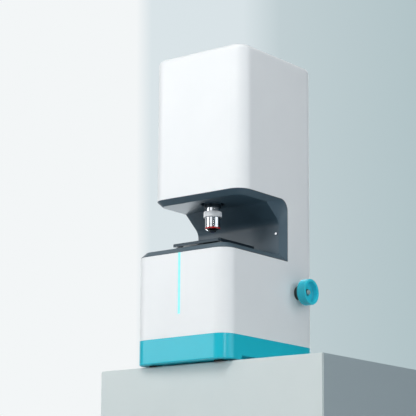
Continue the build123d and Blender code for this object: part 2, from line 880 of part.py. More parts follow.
def make_objective_mount():
    """Dark boss under the arm, with the objective's thread."""
    mount = turned(
        [
            (objective_thread_radius + running_gap, mount_bottom_z), (boss_radius, mount_bottom_z),
            (boss_radius, boss_flange_z), (boss_flange_radius, boss_flange_z),
            (boss_flange_radius, arm_bottom_z), (light_path_radius, arm_bottom_z),
            (light_path_radius, objective_thread_top_z + thread_relief),
            (objective_thread_radius + running_gap, objective_thread_top_z + thread_relief),
        ],
        0, axis_y,
    )
    return mount


def make_objective_barrel():
    """Bright steel barrel of the objective, with its thread at the top."""
    low = colour_ring_top_z
    step = groove_rise
    inner = objective_body_radius - groove_depth
    return turned(
        [
            (objective_bore_radius, colour_ring_bottom_z),
            (cone_tip_radius, colour_ring_bottom_z),
            (colour_ring_seat_radius, colour_ring_bottom_z + colour_ring_inset),
            (colour_ring_seat_radius, low),
            (objective_body_radius, low), (objective_body_radius, low + step),
            (inner, low + step), (inner, low + step + groove_depth),
            (objective_body_radius, low + step + groove_depth), (objective_body_radius, knurl_bottom_z),
            (neck_radius, knurl_bottom_z), (neck_radius, mount_bottom_z),
            (objective_thread_radius, mount_bottom_z), (objective_thread_radius, objective_thread_top_z),
            (objective_bore_radius, objective_thread_top_z),
        ],
        0, axis_y,
    )


def make_objective_knurled_ring():
    """Straight-knurled grip ring of the objective."""
    points = []
    for i in range(knurl_count * 2):
        angle = math.pi * i / knurl_count
        r = knurl_radius - (knurl_depth if i % 2 else 0)
        points.append((r * math.cos(angle), axis_y + r * math.sin(angle), knurl_bottom_z))
    outline = make_face(Polyline(*points, close=True))
    ring = extrude(outline, amount=knurl_top_z - knurl_bottom_z, dir=(0, 0, 1))
    bevelled = turned(
        [
            (0, knurl_bottom_z), (knurl_radius - knurl_chamfer, knurl_bottom_z),
            (knurl_radius, knurl_bottom_z + knurl_chamfer), (knurl_radius, knurl_top_z - knurl_chamfer),
            (knurl_radius - knurl_chamfer, knurl_top_z), (0, knurl_top_z),
        ],
        0, axis_y,
    )
    bore = rod_along_z(neck_radius + running_gap, 0, axis_y, knurl_bottom_z - past, knurl_top_z + past)
    return biggest((ring & bevelled) - bore)


def make_objective_collar():
    """Black shoulder ring above the neck."""
    ring = rod_along_z(objective_collar_radius, 0, axis_y, neck_top_z, mount_bottom_z)
    ring = chamfer(ring.edges().group_by(Axis.Z)[0], objective_collar_chamfer)
    return ring - rod_along_z(neck_radius + running_gap, 0, axis_y, neck_top_z - past, mount_bottom_z + past)


def make_objective_colour_ring():
    """Red ring that marks the magnification."""
    return turned(
        [
            (colour_ring_seat_radius + running_gap, colour_ring_bottom_z + colour_ring_inset),
            (colour_ring_radius, colour_ring_bottom_z + colour_ring_inset),
            (colour_ring_radius, colour_ring_top_z),
            (colour_ring_seat_radius + running_gap, colour_ring_top_z),
        ],
        0, axis_y,
    )


def make_objective_nose():
    """Black nose piece that holds the front lens."""
    seat_z = tip_bottom_z + front_lens_setback + front_lens_thickness
    return turned(
        [
            (front_lens_radius + running_gap, tip_bottom_z), (tip_radius - nose_chamfer, tip_bottom_z),
            (tip_radius, tip_bottom_z + nose_chamfer), (tip_radius, colour_ring_bottom_z),
            (objective_bore_radius - running_gap, colour_ring_bottom_z),
            (objective_bore_radius - running_gap, colour_ring_bottom_z + nose_spigot),
            (front_lens_radius - front_lens_lip, colour_ring_bottom_z + nose_spigot),
            (front_lens_radius - front_lens_lip, seat_z),
            (front_lens_radius + running_gap, seat_z),
        ],
        0, axis_y,
    )


def make_objective_front_lens():
    """Front lens of the objective."""
    low = tip_bottom_z + front_lens_setback
    return rod_along_z(front_lens_radius, 0, axis_y, low, low + front_lens_thickness)


def make_tube_lens_barrel():
    """Black tube between arm and camera."""
    return turned(
        [
            (tube_ledge_radius, arm_top_z), (tube_radius, arm_top_z), (tube_radius, tube_top_z),
            (tube_bore_radius, tube_top_z), (tube_bore_radius, tube_ledge_z),
            (tube_ledge_radius, tube_ledge_z),
        ],
        0, axis_y,
    )


def make_tube_lens():
    """Tube lens on its ledge."""
    radius = tube_bore_radius - joint_gap
    return rod_along_z(radius, 0, axis_y, tube_ledge_z, tube_ledge_z + tube_lens_thickness)


def make_camera_body():
    """Camera housing on top of the tube."""
    top = tube_top_z + camera_height
    body = block(-camera_half, camera_half, axis_y - camera_half, axis_y + camera_half, tube_top_z, top)
    body = fillet(body.edges().filter_by(Axis.Z), camera_corner)
    inner = camera_half - camera_wall
    body = body - block(-inner, inner, axis_y - inner, axis_y + inner, camera_floor_z, top - camera_wall)
    return body - rod_along_z(light_path_radius, 0, axis_y, tube_top_z - past, camera_floor_z + past)


def make_camera_board():
    """Sensor board inside the camera."""
    half = camera_half - camera_wall - joint_gap
    board = block(-half, half, axis_y - half, axis_y + half, camera_floor_z, camera_floor_z + board_thickness)
    top = camera_floor_z + board_thickness
    half = sensor_half
    return board + block(-half, half, axis_y - half, axis_y + half, top, top + sensor_height)


# Stage and its lift

def post_places():
    """Centres of the four stage posts."""
    return [(x, y) for x in (-post_x, post_x) for y in (post_front_y, post_rear_y)]


def make_stage_plate():
    """Dark stage plate with a pocket for the slide insert and a light opening."""
    low = stage_top_z - stage_thickness
    plate = block(-stage_half_x, stage_half_x, stage_front_y, stage_rear_y, low, stage_top_z)
    plate = fillet(plate.edges().filter_by(Axis.Z), stage_corner)
    plate = chamfer(plate.edges().group_by(Axis.Z)[-1], stage_edge)
    plate = plate - block(
        -slide_length / 2 - insert_rim, slide_length / 2 + insert_rim,
        axis_y - slide_width / 2 - insert_rim, axis_y + slide_width / 2 + insert_rim,
        stage_top_z - stage_pocket_depth, stage_top_z + past,
    )
    return plate - rod_along_z(stage_aperture_radius, 0, axis_y, low - past, stage_top_z + past)


def make_slide_insert():
    """Insert that locates one counting slide."""
    outer_x = slide_length / 2 + insert_rim - joint_gap
    outer_y = slide_width / 2 + insert_rim - joint_gap
    low = stage_top_z - stage_pocket_depth
    insert = block(-outer_x, outer_x, axis_y - outer_y, axis_y + outer_y, low, stage_top_z)
    insert = insert - block(
        -slide_length / 2, slide_length / 2, axis_y - slide_width / 2, axis_y + slide_width / 2,
        stage_top_z - slide_thickness, stage_top_z + past,
    )
    return insert - rod_along_z(stage_aperture_radius, 0, axis_y, low - past, stage_top_z + past)


def make_stage_posts():
    """Four posts between carriage and stage plate."""
    top = stage_top_z - stage_thickness
    return group(rod_along_z(post_radius, x, y, carriage_top_z, top) for x, y in post_places())


def make_stage_carriage():
    """Carriage plate that slides on the guide rods."""
    plate = block(
        -carriage_half_x, carriage_half_x, carriage_front_y, carriage_rear_y,
        carriage_bottom_z, carriage_top_z,
    )
    plate = fillet(plate.edges().filter_by(Axis.Z), carriage_corner)
    plate = plate - rod_along_z(
        condenser_radius + condenser_clearance, 0, axis_y, carriage_bottom_z - past, carriage_top_z + past
    )
    for x in (-rod_x, rod_x):
        plate = plate - rod_along_z(
            bush_radius + running_gap, x, rod_y, carriage_bottom_z - past, carriage_top_z + past
        )
    return plate


def make_carriage_bushes():
    """Two plain bushes in the carriage."""
    bushes = []
    for x in (-rod_x, rod_x):
        bush = rod_along_z(bush_radius, x, rod_y, bush_bottom_z, bush_top_z)
        bore = rod_along_z(rod_radius + running_gap, x, rod_y, bush_bottom_z - past, bush_top_z + past)
        bushes.append(bush - bore)
    return group(bushes)


def make_guide_rods():
    """Two upright guide rods."""
    return group(rod_along_z(rod_radius, x, rod_y, plinth_floor_z, rod_top_z) for x in (-rod_x, rod_x))


def make_rod_bridge():
    """Bridge on the backbone that holds the rods' upper ends."""
    bridge = block(
        -carriage_half_x, carriage_half_x, rod_y - bridge_reach, backbone_y, bridge_bottom_z, rod_top_z
    )
    hole = rod_radius + running_gap
    for x in (-rod_x, rod_x):
        bridge = bridge - rod_along_z(hole, x, rod_y, bridge_bottom_z - past, rod_top_z + past)
    return bridge


def tooth_outline(teeth, addendum, first_angle):
    """Involute gear outline as (u, v) points, with one tooth centred on first_angle."""
    pitch = gear_module * teeth / 2
    alpha = math.radians(pressure_angle)
    base = pitch * math.cos(alpha)
    tip = pitch + addendum
    root = pitch - gear_module - tooth_clearance
    half_tooth = math.pi / 2 / teeth - tooth_backlash / 4 / pitch
    involute_alpha = math.tan(alpha) - alpha
    steps = 6
    flank = []
    start = max(base, root)
    for i in range(steps + 1):
        r = start + (tip - start) * i / steps
        a = math.acos(min(1.0, base / r))
        flank.append((r, half_tooth + involute_alpha - (math.tan(a) - a)))
    points = []
    for i in range(teeth):
        middle = first_angle + 2 * math.pi * i / teeth
        if root < base:
            points.append((root, middle - flank[0][1]))
        points += [(r, middle - a) for r, a in flank]
        points += [(r, middle + a) for r, a in reversed(flank)]
        if root < base:
            points.append((root, middle + flank[0][1]))
    return [(r * math.cos(a), r * math.sin(a)) for r, a in points]


def gear_along_x(teeth, addendum, first_angle, x0, x1, y, z):
    """A spur gear on an axis from left to right."""
    outline = [(y + u, z + v) for u, v in tooth_outline(teeth, addendum, first_angle)]
    gear = side_prism(outline, x0, x1)
    return biggest(gear - rod_along_x(shaft_radius, x0 - past, x1 + past, y, z))


def make_focus_rack():
    """Toothed rack on the back of the carriage."""
    pitch = math.pi * gear_module
    slope = math.tan(math.radians(pressure_angle))
    tip_y = rack_pitch_y + rack_addendum
    root_y = rack_pitch_y - gear_module - tooth_clearance
    half_tooth = pitch / 4 - tooth_backlash / 4
    tip_half = half_tooth - rack_addendum * slope
    root_half = half_tooth + (rack_pitch_y - root_y) * slope
    points = [(carriage_rear_y, rack_bottom_z), (root_y, rack_bottom_z)]
    count = int((rack_top_z - rack_bottom_z) / pitch)
    start = knob_axis_z - (int((knob_axis_z - rack_bottom_z) / pitch) - 0.5) * pitch
    for i in range(count):
        z = start + i * pitch
        if z + root_half > rack_top_z:
            break
        points += [(root_y, z - root_half), (tip_y, z - tip_half)]
        points += [(tip_y, z + tip_half), (root_y, z + root_half)]
    points += [(root_y, rack_top_z), (carriage_rear_y, rack_top_z)]
    return side_prism(points, -rack_half_width, rack_half_width)


def make_rack_pinion():
    """Small pinion that drives the rack."""
    return gear_along_x(
        pinion_teeth, gear_module, math.pi, -rack_pinion_half_width, rack_pinion_half_width,
        layshaft_y, knob_axis_z,
    )


def make_reduction_gear():
    """Large gear on the layshaft."""
    return gear_along_x(
        wheel_teeth, wheel_addendum, 0.0, gear_left_x, gear_left_x + gear_face, layshaft_y, knob_axis_z
    )


def make_drive_pinion():
    """Pinion on the knob's shaft."""
    half_pitch = math.pi / pinion_teeth
    return gear_along_x(
        pinion_teeth, gear_module, math.pi + half_pitch, gear_left_x - drive_pinion_overhang,
        gear_left_x + gear_face + drive_pinion_overhang, knob_axis_y, knob_axis_z,
    )


def make_layshaft():
    """Shaft of reduction gear and rack pinion."""
    return rod_along_x(
        shaft_radius, cheek_left_x, cheek_right_x + cheek_thickness, layshaft_y, knob_axis_z
    )


def bearing(x, y):
    """One plain bearing, flush in its cheek."""
    bush = rod_along_x(bearing_radius, x, x + cheek_thickness, y, knob_axis_z)
    bore = shaft_radius + running_gap
    return bush - rod_along_x(bore, x - past, x + cheek_thickness + past, y, knob_axis_z)


def make_layshaft_bearings():
    """Two bearings of the layshaft."""
    return group([bearing(cheek_left_x, layshaft_y), bearing(cheek_right_x, layshaft_y)])


def make_shaft_bearing():
    """Inner bearing of the knob's shaft."""
    return bearing(cheek_right_x, knob_axis_y)


def make_gearbox_cheeks():
    """Two upright cheeks that carry the bearings."""
    cheeks = []
    for x, knob_side in ((cheek_left_x, False), (cheek_right_x, True)):
        rear = cheek_rear_y if knob_side else layshaft_y + cheek_reach
        cheek = block(x, x + cheek_thickness, cheek_front_y, rear, base_top_z, cheek_top_z)
        foot_x0 = x - cheek_foot if knob_side else x
        foot_x1 = x + cheek_thickness if knob_side else x + cheek_foot
        cheek = cheek + block(
            foot_x0, foot_x1, backbone_rear_y - cheek_foot_lead, rear,
            base_top_z, base_top_z + cheek_foot_thickness,
        )
        hole = bearing_radius + running_gap
        cheek = cheek - rod_along_x(hole, x - past, x + cheek_thickness + past, layshaft_y, knob_axis_z)
        if knob_side:
            cheek = cheek - rod_along_x(hole, x - past, x + cheek_thickness + past, knob_axis_y, knob_axis_z)
        cheeks.append(cheek)
    return group(cheeks)


def make_focus_shaft():
    """Shaft from the knob to the drive pinion."""
    shaft = rod_along_x(shaft_radius, shaft_inner_x, shaft_end_x, knob_axis_y, knob_axis_z)
    return shaft - rod_along_x(
        knob_screw_radius + running_gap, shaft_end_x - knob_screw_hole_depth, shaft_end_x + past,
        knob_axis_y, knob_axis_z,
    )


def make_knob_collar():
    """Black collar on the housing that guides the knob's shaft."""
    collar = rod_along_x(
        collar_radius, half_width, knob_inner_x - slip_gap, knob_axis_y, knob_axis_z
    )
    collar = fillet(collar.edges().group_by(Axis.X)[-1], collar_edge)
    collar = collar + rod_along_x(
        collar_spigot_radius, half_width - wall, half_width, knob_axis_y, knob_axis_z
    )
    return collar - rod_along_x(
        shaft_radius + running_gap, half_width - wall - past, knob_inner_x + past, knob_axis_y, knob_axis_z
    )


def rib_section(x, turn):
    """Outline of the knob's ribs in the plane at x, turned about the knob's axis. Roots and crests alternate."""
    ribs = []
    for i in range(2 * knob_rib_count):
        r = knob_radius + knob_rib_trim if i % 2 else knob_radius - knob_rib_depth
        angle = math.pi * i / knob_rib_count + turn
        ribs.append((x, knob_axis_y + r * math.cos(angle), knob_axis_z + r * math.sin(angle)))
    return make_face(Polyline(*ribs, close=True))


def make_focus_knob():
    """Focus knob with slanted ribs and a dished face."""
    sections = []
    for step in range(knob_rib_steps + 1):
        share = step / knob_rib_steps
        x = knob_inner_x + share * (knob_outer_x - knob_inner_x)
        sections.append(rib_section(x, -share * math.radians(knob_rib_slant)))
    knob = loft(sections, ruled=True)
    envelope = rod_along_x(knob_radius, knob_inner_x, knob_outer_x, knob_axis_y, knob_axis_z)
    envelope = fillet(envelope.edges(), knob_edge)
    knob = knob & envelope
    dish = rod_along_x(
        knob_dish_radius, knob_outer_x - knob_dish_depth, knob_outer_x + past, knob_axis_y, knob_axis_z
    )
    dish = fillet(dish.edges().group_by(Axis.X)[0], knob_dish_corner)
    hub = rod_along_x(
        knob_hub_radius, knob_outer_x - knob_dish_depth - past, knob_hub_x, knob_axis_y, knob_axis_z
    )
    knob = knob - dish + hub
    knob = knob - rod_along_x(shaft_radius, knob_inner_x - past, shaft_end_x, knob_axis_y, knob_axis_z)
    knob = knob - rod_along_x(
        knob_screw_radius + joint_gap, shaft_end_x - past, knob_outer_x + past, knob_axis_y, knob_axis_z
    )
    return biggest(knob)


def make_knob_washer():
    """Black washer under the knob's screw."""
    washer = rod_along_x(washer_radius, knob_hub_x, knob_hub_x + washer_thickness, knob_axis_y, knob_axis_z)
    return washer - rod_along_x(
        knob_screw_radius + joint_gap, knob_hub_x - past, knob_outer_x + past, knob_axis_y, knob_axis_z
    )


def make_knob_screw():
    """Bright screw that holds the knob on its shaft."""
    seat = knob_hub_x + washer_thickness
    head = rod_along_x(knob_screw_head_radius, seat, seat + knob_screw_head, knob_axis_y, knob_axis_z)
    head = fillet(head.edges().group_by(Axis.X)[-1], knob_screw_dome)
    socket = rod_along_x(
        knob_screw_socket_radius, seat + knob_screw_socket_floor, seat + knob_screw_head + past,
        knob_axis_y, knob_axis_z,
    )
    shank = rod_along_x(knob_screw_radius, shaft_end_x - knob_screw_reach, seat, knob_axis_y, knob_axis_z)
    return head + shank - socket


# Light source

def make_led_heat_sink():
    """Finned heat sink of the light source."""
    half = led_sink_half
    sink = block(-half, half, axis_y - half, axis_y + half, base_top_z, led_sink_top_z)
    for i in range(led_slot_count):
        x = (i - (led_slot_count - 1) / 2) * led_slot_pitch
        sink = sink - block(
            x - led_slot_half, x + led_slot_half, axis_y - half - past, axis_y + half + past,
            base_top_z - past, base_top_z + led_slot_depth,
        )
    return sink


def make_light_source_board():
    """Round board of the light source."""
    return rod_along_z(
        condenser_bore_radius - source_board_gap, 0, axis_y, led_sink_top_z, led_sink_top_z + board_thickness
    )


def make_light_source_led():
    """Light-emitting diode under its dome."""
    low = led_sink_top_z + board_thickness
    dome = rod_along_z(led_radius, 0, axis_y, low, low + led_height)
    return fillet(dome.edges().group_by(Axis.Z)[-1], led_dome)


def make_condenser_tube():
    """Black tube that leads the light up to the stage."""
    ledge = condenser_lens_z
    return turned(
        [
            (condenser_bore_radius, led_sink_top_z), (condenser_radius, led_sink_top_z),
            (condenser_radius, condenser_top_z), (condenser_bore_radius, condenser_top_z),
            (condenser_bore_radius, ledge), (condenser_ledge_radius, ledge),
            (condenser_ledge_radius, ledge - condenser_ledge_thickness),
            (condenser_bore_radius, ledge - condenser_ledge_thickness),
        ],
        0, axis_y,
    )


def make_condenser_lens():
    """Condenser lens on its ledge, flat below and domed above."""
    radius = condenser_bore_radius - joint_gap
    low = condenser_lens_z
    dome = condenser_lens_thickness - condenser_lens_edge
    ball_radius = (radius * radius + dome * dome) / (2 * dome)
    top = low + condenser_lens_thickness
    ball = Pos(0, axis_y, top - ball_radius) * Sphere(ball_radius)
    return biggest(rod_along_z(radius, 0, axis_y, low, top) & ball)


# Light bar

def make_light_bar_diffuser():
    """Clear bar in the front slot, with a flange behind the wall."""
    bar = block(
        -light_bar_half_x, light_bar_half_x, front_y, light_bar_rear_y, light_bar_bottom_z, deck_rim_z
    )
    flange_x = light_bar_half_x + light_bar_flange
    flange = block(
        -flange_x, flange_x, front_y + wall, light_bar_rear_y,
        light_bar_bottom_z - light_bar_flange, deck_rim_z,
    )
    return bar + flange


def make_light_bar_board():
    """Narrow board with the light bar's diodes."""
    y0 = light_bar_rear_y
    return block(
        -light_board_half_x, light_board_half_x, y0, y0 + board_thickness,
        light_bar_bottom_z - light_board_drop, deck_rim_z - light_board_drop,
    )


# Electronics

def board_hole_places():
    """Centres of the main board's four standoffs."""
    x = main_board_half_x - board_hole_inset
    low = main_board_bottom_z + board_hole_inset
    high = main_board_top_z - board_hole_inset
    return [(s * x, z) for s in (-1, 1) for z in (low, high)]


def make_main_board():
    """Main circuit board with its larger components."""
    y0 = backbone_rear_y + standoff_length
    y1 = y0 + board_thickness
    middle_z = (main_board_bottom_z + main_board_top_z) / 2
    board = block(-main_board_half_x, main_board_half_x, y0, y1, main_board_bottom_z, main_board_top_z)
    board = board + block(
        -chip_half, chip_half, y1, y1 + chip_height, middle_z - chip_half, middle_z + chip_half
    )
    low = main_board_bottom_z
    board = board + block(
        plug_strip_left_x, plug_strip_right_x, y1, y1 + plug_strip_height,
        low + plug_strip_low, low + plug_strip_high,
    )
    board = board + block(coil_left_x, coil_right_x, y1, y1 + coil_height, low + coil_low, low + coil_high)
    z = main_board_top_z - capacitor_drop
    for x in (capacitor_left_x, capacitor_right_x):
        board = board + rod_along_y(capacitor_radius, x, y1, y1 + capacitor_height, z)
    for x, z in board_hole_places():
        board = board - rod_along_y(m3_radius + running_gap, x, y0 - past, y1 + past, z)
    return board


def make_board_standoffs():
    """Four standoffs between backbone and main board, each with its stud."""
    standoffs = []
    y0 = backbone_rear_y
    y1 = y0 + standoff_length
    for x, z in board_hole_places():
        body = rod_along_y(standoff_radius, x, y0, y1, z)
        stud = rod_along_y(m3_radius, x, y0 - stud_reach, y1 + board_thickness, z)
        nut = rod_along_y(standoff_radius, x, y1 + board_thickness, y1 + board_thickness + nut_height, z)
        standoffs.append(body + stud + nut)
    return group(standoffs)


def make_processor_heat_sink():
    """Finned heat sink on the main board's processor."""
    y0 = backbone_rear_y + standoff_length + board_thickness + chip_height
    middle_z = (main_board_bottom_z + main_board_top_z) / 2
    half = chip_half + sink_overhang
    sink = block(-half, half, y0, y0 + sink_base, middle_z - half, middle_z + half)
    step = (2 * half - fin_thickness) / (fin_count - 1)
    for i in range(fin_count):
        x = -half + i * step
        sink = sink + block(x, x + fin_thickness, y0, y0 + sink_height, middle_z - half, middle_z + half)
    return sink


def make_connector_board():
    """Board that carries the sockets behind the rear cover."""
    y1 = connector_board_y
    return block(
        -connector_board_half_x, switch_x - switch_half_x - board_to_switch, y1 - board_thickness, y1,
        connector_board_bottom_z, connector_board_top_z,
    )


def make_power_jack():
    """Power inlet: block with a round socket and a centre pin."""
    y0 = connector_board_y
    jack = block(jack_x - jack_half_x, jack_x + jack_half_x, y0, rear_y + socket_proud,
                 connector_z - jack_half_z, connector_z + jack_half_z)
    low = rear_y - jack_depth
    jack = jack - rod_along_y(jack_bore_radius, jack_x, low, rear_y + past, connector_z)
    pin = rod_along_y(jack_pin_radius, jack_x, low - jack_pin_root, rear_y - jack_pin_setback, connector_z)
    return jack + pin


def make_usb_socket():
    """Data socket: metal shell with its tongue."""
    y0 = connector_board_y
    shell = block(usb_x - usb_half_x, usb_x + usb_half_x, y0, rear_y + socket_proud,
                  connector_z - usb_half_z, connector_z + usb_half_z)
    g = usb_wall
    low = rear_y - usb_depth
    shell = shell - block(usb_x - usb_half_x + g, usb_x + usb_half_x - g, low, rear_y + past,
                          connector_z - usb_half_z + g, connector_z + usb_half_z - g)
    tongue = block(
        usb_x - usb_tongue_half_x, usb_x + usb_tongue_half_x,
        low - usb_tongue_root, rear_y - usb_tongue_setback,
        connector_z + usb_tongue_low, connector_z + usb_tongue_high,
    )
    return shell + tongue


def rocker_back():
    """Side view of the rocker's round back."""
    points = []
    for i in range(rocker_arc_steps + 1):
        angle = math.pi / 2 + math.pi * i / rocker_arc_steps
        y = rocker_pivot_y + rocker_radius * math.cos(angle)
        points.append((y, connector_z + rocker_radius * math.sin(angle)))
    return points


def make_switch_body():
    """Switch case with a flange on the rear cover."""
    case = block(switch_x - switch_half_x, switch_x + switch_half_x, rear_y - switch_depth, rear_y,
                 connector_z - switch_half_z, connector_z + switch_half_z)
    g = switch_flange
    flange = block(switch_x - switch_half_x - g, switch_x + switch_half_x + g, rear_y,
                   rear_y + switch_flange_thickness, connector_z - switch_half_z - g,
                   connector_z + switch_half_z + g)
    flange = chamfer(flange.edges().group_by(Axis.Y)[-1], switch_edge)
    room = rocker_half_x + slip_gap
    radius = rocker_radius + slip_gap
    well = rod_along_x(radius, switch_x - room, switch_x + room, rocker_pivot_y, connector_z)
    mouth = block(switch_x - room, switch_x + room, rocker_pivot_y, rear_y + switch_flange_thickness + past,
                  connector_z - radius, connector_z + radius)
    case = case + flange - well - mouth
    pin = rocker_pin_radius + running_gap
    reach = room + rocker_pin_reach
    return case - rod_along_x(pin, switch_x - reach, switch_x + reach, rocker_pivot_y, connector_z)


def make_switch_rocker():
    """Rocker of the power switch, stored in its off position."""
    rocker = side_prism(rocker_back(), switch_x - rocker_half_x, switch_x + rocker_half_x)
    rise = 2 * rocker_radius * math.tan(math.radians(rocker_tilt))
    tip = rocker_radius * rocker_tip_share
    wings = side_prism(
        [
            (rocker_pivot_y - rocker_wing_root, connector_z + rocker_radius),
            (rocker_pivot_y + rise, connector_z + tip), (rocker_pivot_y + rocker_valley, connector_z),
            (rocker_pivot_y + rise, connector_z - tip),
            (rocker_pivot_y - rocker_wing_root, connector_z - rocker_radius),
        ],
        switch_x - rocker_half_x, switch_x + rocker_half_x,
    )
    envelope = rod_along_x(
        rocker_radius, switch_x - rocker_half_x, switch_x + rocker_half_x, rocker_pivot_y, connector_z
    )
    rocker = rocker + (wings & envelope)
    reach = rocker_half_x + rocker_pin_reach
    pin = rod_along_x(
        rocker_pin_radius, switch_x - reach, switch_x + reach, rocker_pivot_y, connector_z
    )
    rocker = rocker + pin
    pivot = Axis((switch_x, rocker_pivot_y, connector_z), (1, 0, 0))
    return rocker.rotate(pivot, -rocker_tilt)


nodes = {
    "main_housing": make_main_housing,
    "rear_cover": make_rear_cover,
    "rear_cover_screws": make_rear_cover_screws,
    "bay_liner": make_bay_liner,
    "liner_screws": make_liner_screws,
    "stage_deck": make_stage_deck,
    "base_plinth": make_base_plinth,
    "feet": make_feet,
    "base_plate": make_base_plate,
    "base_screws": make_base_screws,
    "backbone_plate": make_backbone_plate,
    "backbone_brackets": make_backbone_brackets,
    "head_arm": make_head_arm,
    "objective_mount": make_objective_mount,
    "objective_barrel": make_objective_barrel,
    "objective_knurled_ring": make_objective_knurled_ring,
    "objective_collar": make_objective_collar,
    "objective_colour_ring": make_objective_colour_ring,
    "objective_nose": make_objective_nose,
    "objective_front_lens": make_objective_front_lens,
    "tube_lens_barrel": make_tube_lens_barrel,
    "tube_lens": make_tube_lens,
    "camera_body": make_camera_body,
    "camera_board": make_camera_board,
    "stage_plate": make_stage_plate,
    "slide_insert": make_slide_insert,
    "stage_posts": make_stage_posts,
    "stage_carriage": make_stage_carriage,
    "carriage_bushes": make_carriage_bushes,
    "guide_rods": make_guide_rods,
    "rod_bridge": make_rod_bridge,
    "focus_rack": make_focus_rack,
    "rack_pinion": make_rack_pinion,
    "reduction_gear": make_reduction_gear,
    "drive_pinion": make_drive_pinion,
    "layshaft": make_layshaft,
    "layshaft_bearings": make_layshaft_bearings,
    "shaft_bearing": make_shaft_bearing,
    "gearbox_cheeks": make_gearbox_cheeks,
    "focus_shaft": make_focus_shaft,
    "knob_collar": make_knob_collar,
    "focus_knob": make_focus_knob,
    "knob_washer": make_knob_washer,
    "knob_screw": make_knob_screw,
    "led_heat_sink": make_led_heat_sink,
    "light_source_board": make_light_source_board,
    "light_source_led": make_light_source_led,
    "condenser_tube": make_condenser_tube,
    "condenser_lens": make_condenser_lens,
    "light_bar_diffuser": make_light_bar_diffuser,
    "light_bar_board": make_light_bar_board,
    "main_board": make_main_board,
    "board_standoffs": make_board_standoffs,
    "processor_heat_sink": make_processor_heat_sink,
    "connector_board": make_connector_board,
    "power_jack": make_power_jack,
    "usb_socket": make_usb_socket,
    "switch_body": make_switch_body,
    "switch_rocker": make_switch_rocker,
}

for name, make in nodes.items():
    export_step(make(), f"parts/{name}.step")
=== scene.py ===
import math

import bmesh
import bpy
from mathutils import Matrix, Vector


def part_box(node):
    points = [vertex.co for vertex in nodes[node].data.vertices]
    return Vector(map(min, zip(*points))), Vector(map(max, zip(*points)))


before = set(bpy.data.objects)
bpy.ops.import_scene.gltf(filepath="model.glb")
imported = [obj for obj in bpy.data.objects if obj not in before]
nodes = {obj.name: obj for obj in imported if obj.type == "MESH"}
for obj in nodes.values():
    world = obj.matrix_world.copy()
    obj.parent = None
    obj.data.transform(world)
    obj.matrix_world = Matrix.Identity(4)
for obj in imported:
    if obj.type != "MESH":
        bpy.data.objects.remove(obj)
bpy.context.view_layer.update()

# Lengths are in metres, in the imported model's frame: X right, Y back, Z up, and Z = 0 under the feet.
mm = 0.001
bandRepeat = 0.314  # how far apart a Wave texture's bands lie at Scale 1


# Turns an sRGB hex colour into the linear RGBA that a socket takes.
def linearColour(hexText):
    channels = []
    for start in (0, 2, 4):
        value = int(hexText[start:start + 2], 16) / 255
        channels.append(value / 12.92 if value <= 0.04045 else ((value + 0.055) / 1.055) ** 2.4)
    return (*channels, 1.0)


# Adds a node, gives it its settings, and sets or links each input by name or by number.
def addNode(tree, kind, inputs=None, **settings):
    node = tree.nodes.new(kind)
    for name, value in settings.items():
        setattr(node, name, value)
    for name, value in (inputs or {}).items():
        if isinstance(value, bpy.types.NodeSocket):
            tree.links.new(value, node.inputs[name])
        else:
            node.inputs[name].default_value = value
    return node


# Starts a material whose plain values sit on the shader's own sockets.
def startMaterial(name, finish):
    material = bpy.data.materials.new(name)
    material.use_nodes = True
    tree = material.node_tree
    tree.nodes.clear()
    shader = addNode(tree, "ShaderNodeBsdfPrincipled", finish)
    addNode(tree, "ShaderNodeOutputMaterial", {"Surface": shader.outputs["BSDF"]})
    place = addNode(tree, "ShaderNodeTexCoord").outputs["Object"]
    return material, tree, shader, place


# Links an output to one of the shader's sockets.
def link(tree, output, shader, socket):
    tree.links.new(output, shader.inputs[socket])


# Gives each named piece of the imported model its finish.
def dress(material, *names):
    for name in names:
        nodes[name].data.materials.clear()
        nodes[name].data.materials.append(material)


# Moulded plastics

# Spark-eroded ABS: a fine, even texture from the mould, so a soft broad sheen and no sharp reflection.
# The true texture is about 0.1 mm, drawn as 0.4 mm so that it shows.
housingWhite = {"low": "EDF0F2", "high": "F4F6F7", "grain": 0.4 * mm, "cloud": 70 * mm, "relief": 0.012 * mm,
                "edge": 0.5 * mm}


def sparkErodedWhiteAbs():
    look = housingWhite
    material, tree, shader, place = startMaterial("sparkErodedWhiteAbs", {"Roughness": 0.46, "IOR": 1.53})
    cloud = addNode(tree, "ShaderNodeTexNoise", {"Vector": place, "Scale": 1 / look["cloud"], "Detail": 3.0})
    colour = addNode(tree, "ShaderNodeMix", {
        0: cloud.outputs["Fac"], 6: linearColour(look["low"]), 7: linearColour(look["high"]),
    }, data_type="RGBA")
    link(tree, colour.outputs[2], shader, "Base Color")
    grain = addNode(tree, "ShaderNodeTexNoise", {"Vector": place, "Scale": 1 / look["grain"], "Detail": 2.0})
    edge = addNode(tree, "ShaderNodeBevel", {"Radius": look["edge"]}, samples=4)
    bump = addNode(tree, "ShaderNodeBump", {
        "Height": grain.outputs["Fac"], "Distance": look["relief"], "Normal": edge.outputs["Normal"],
    })
    link(tree, bump.outputs["Normal"], shader, "Normal")
    return material


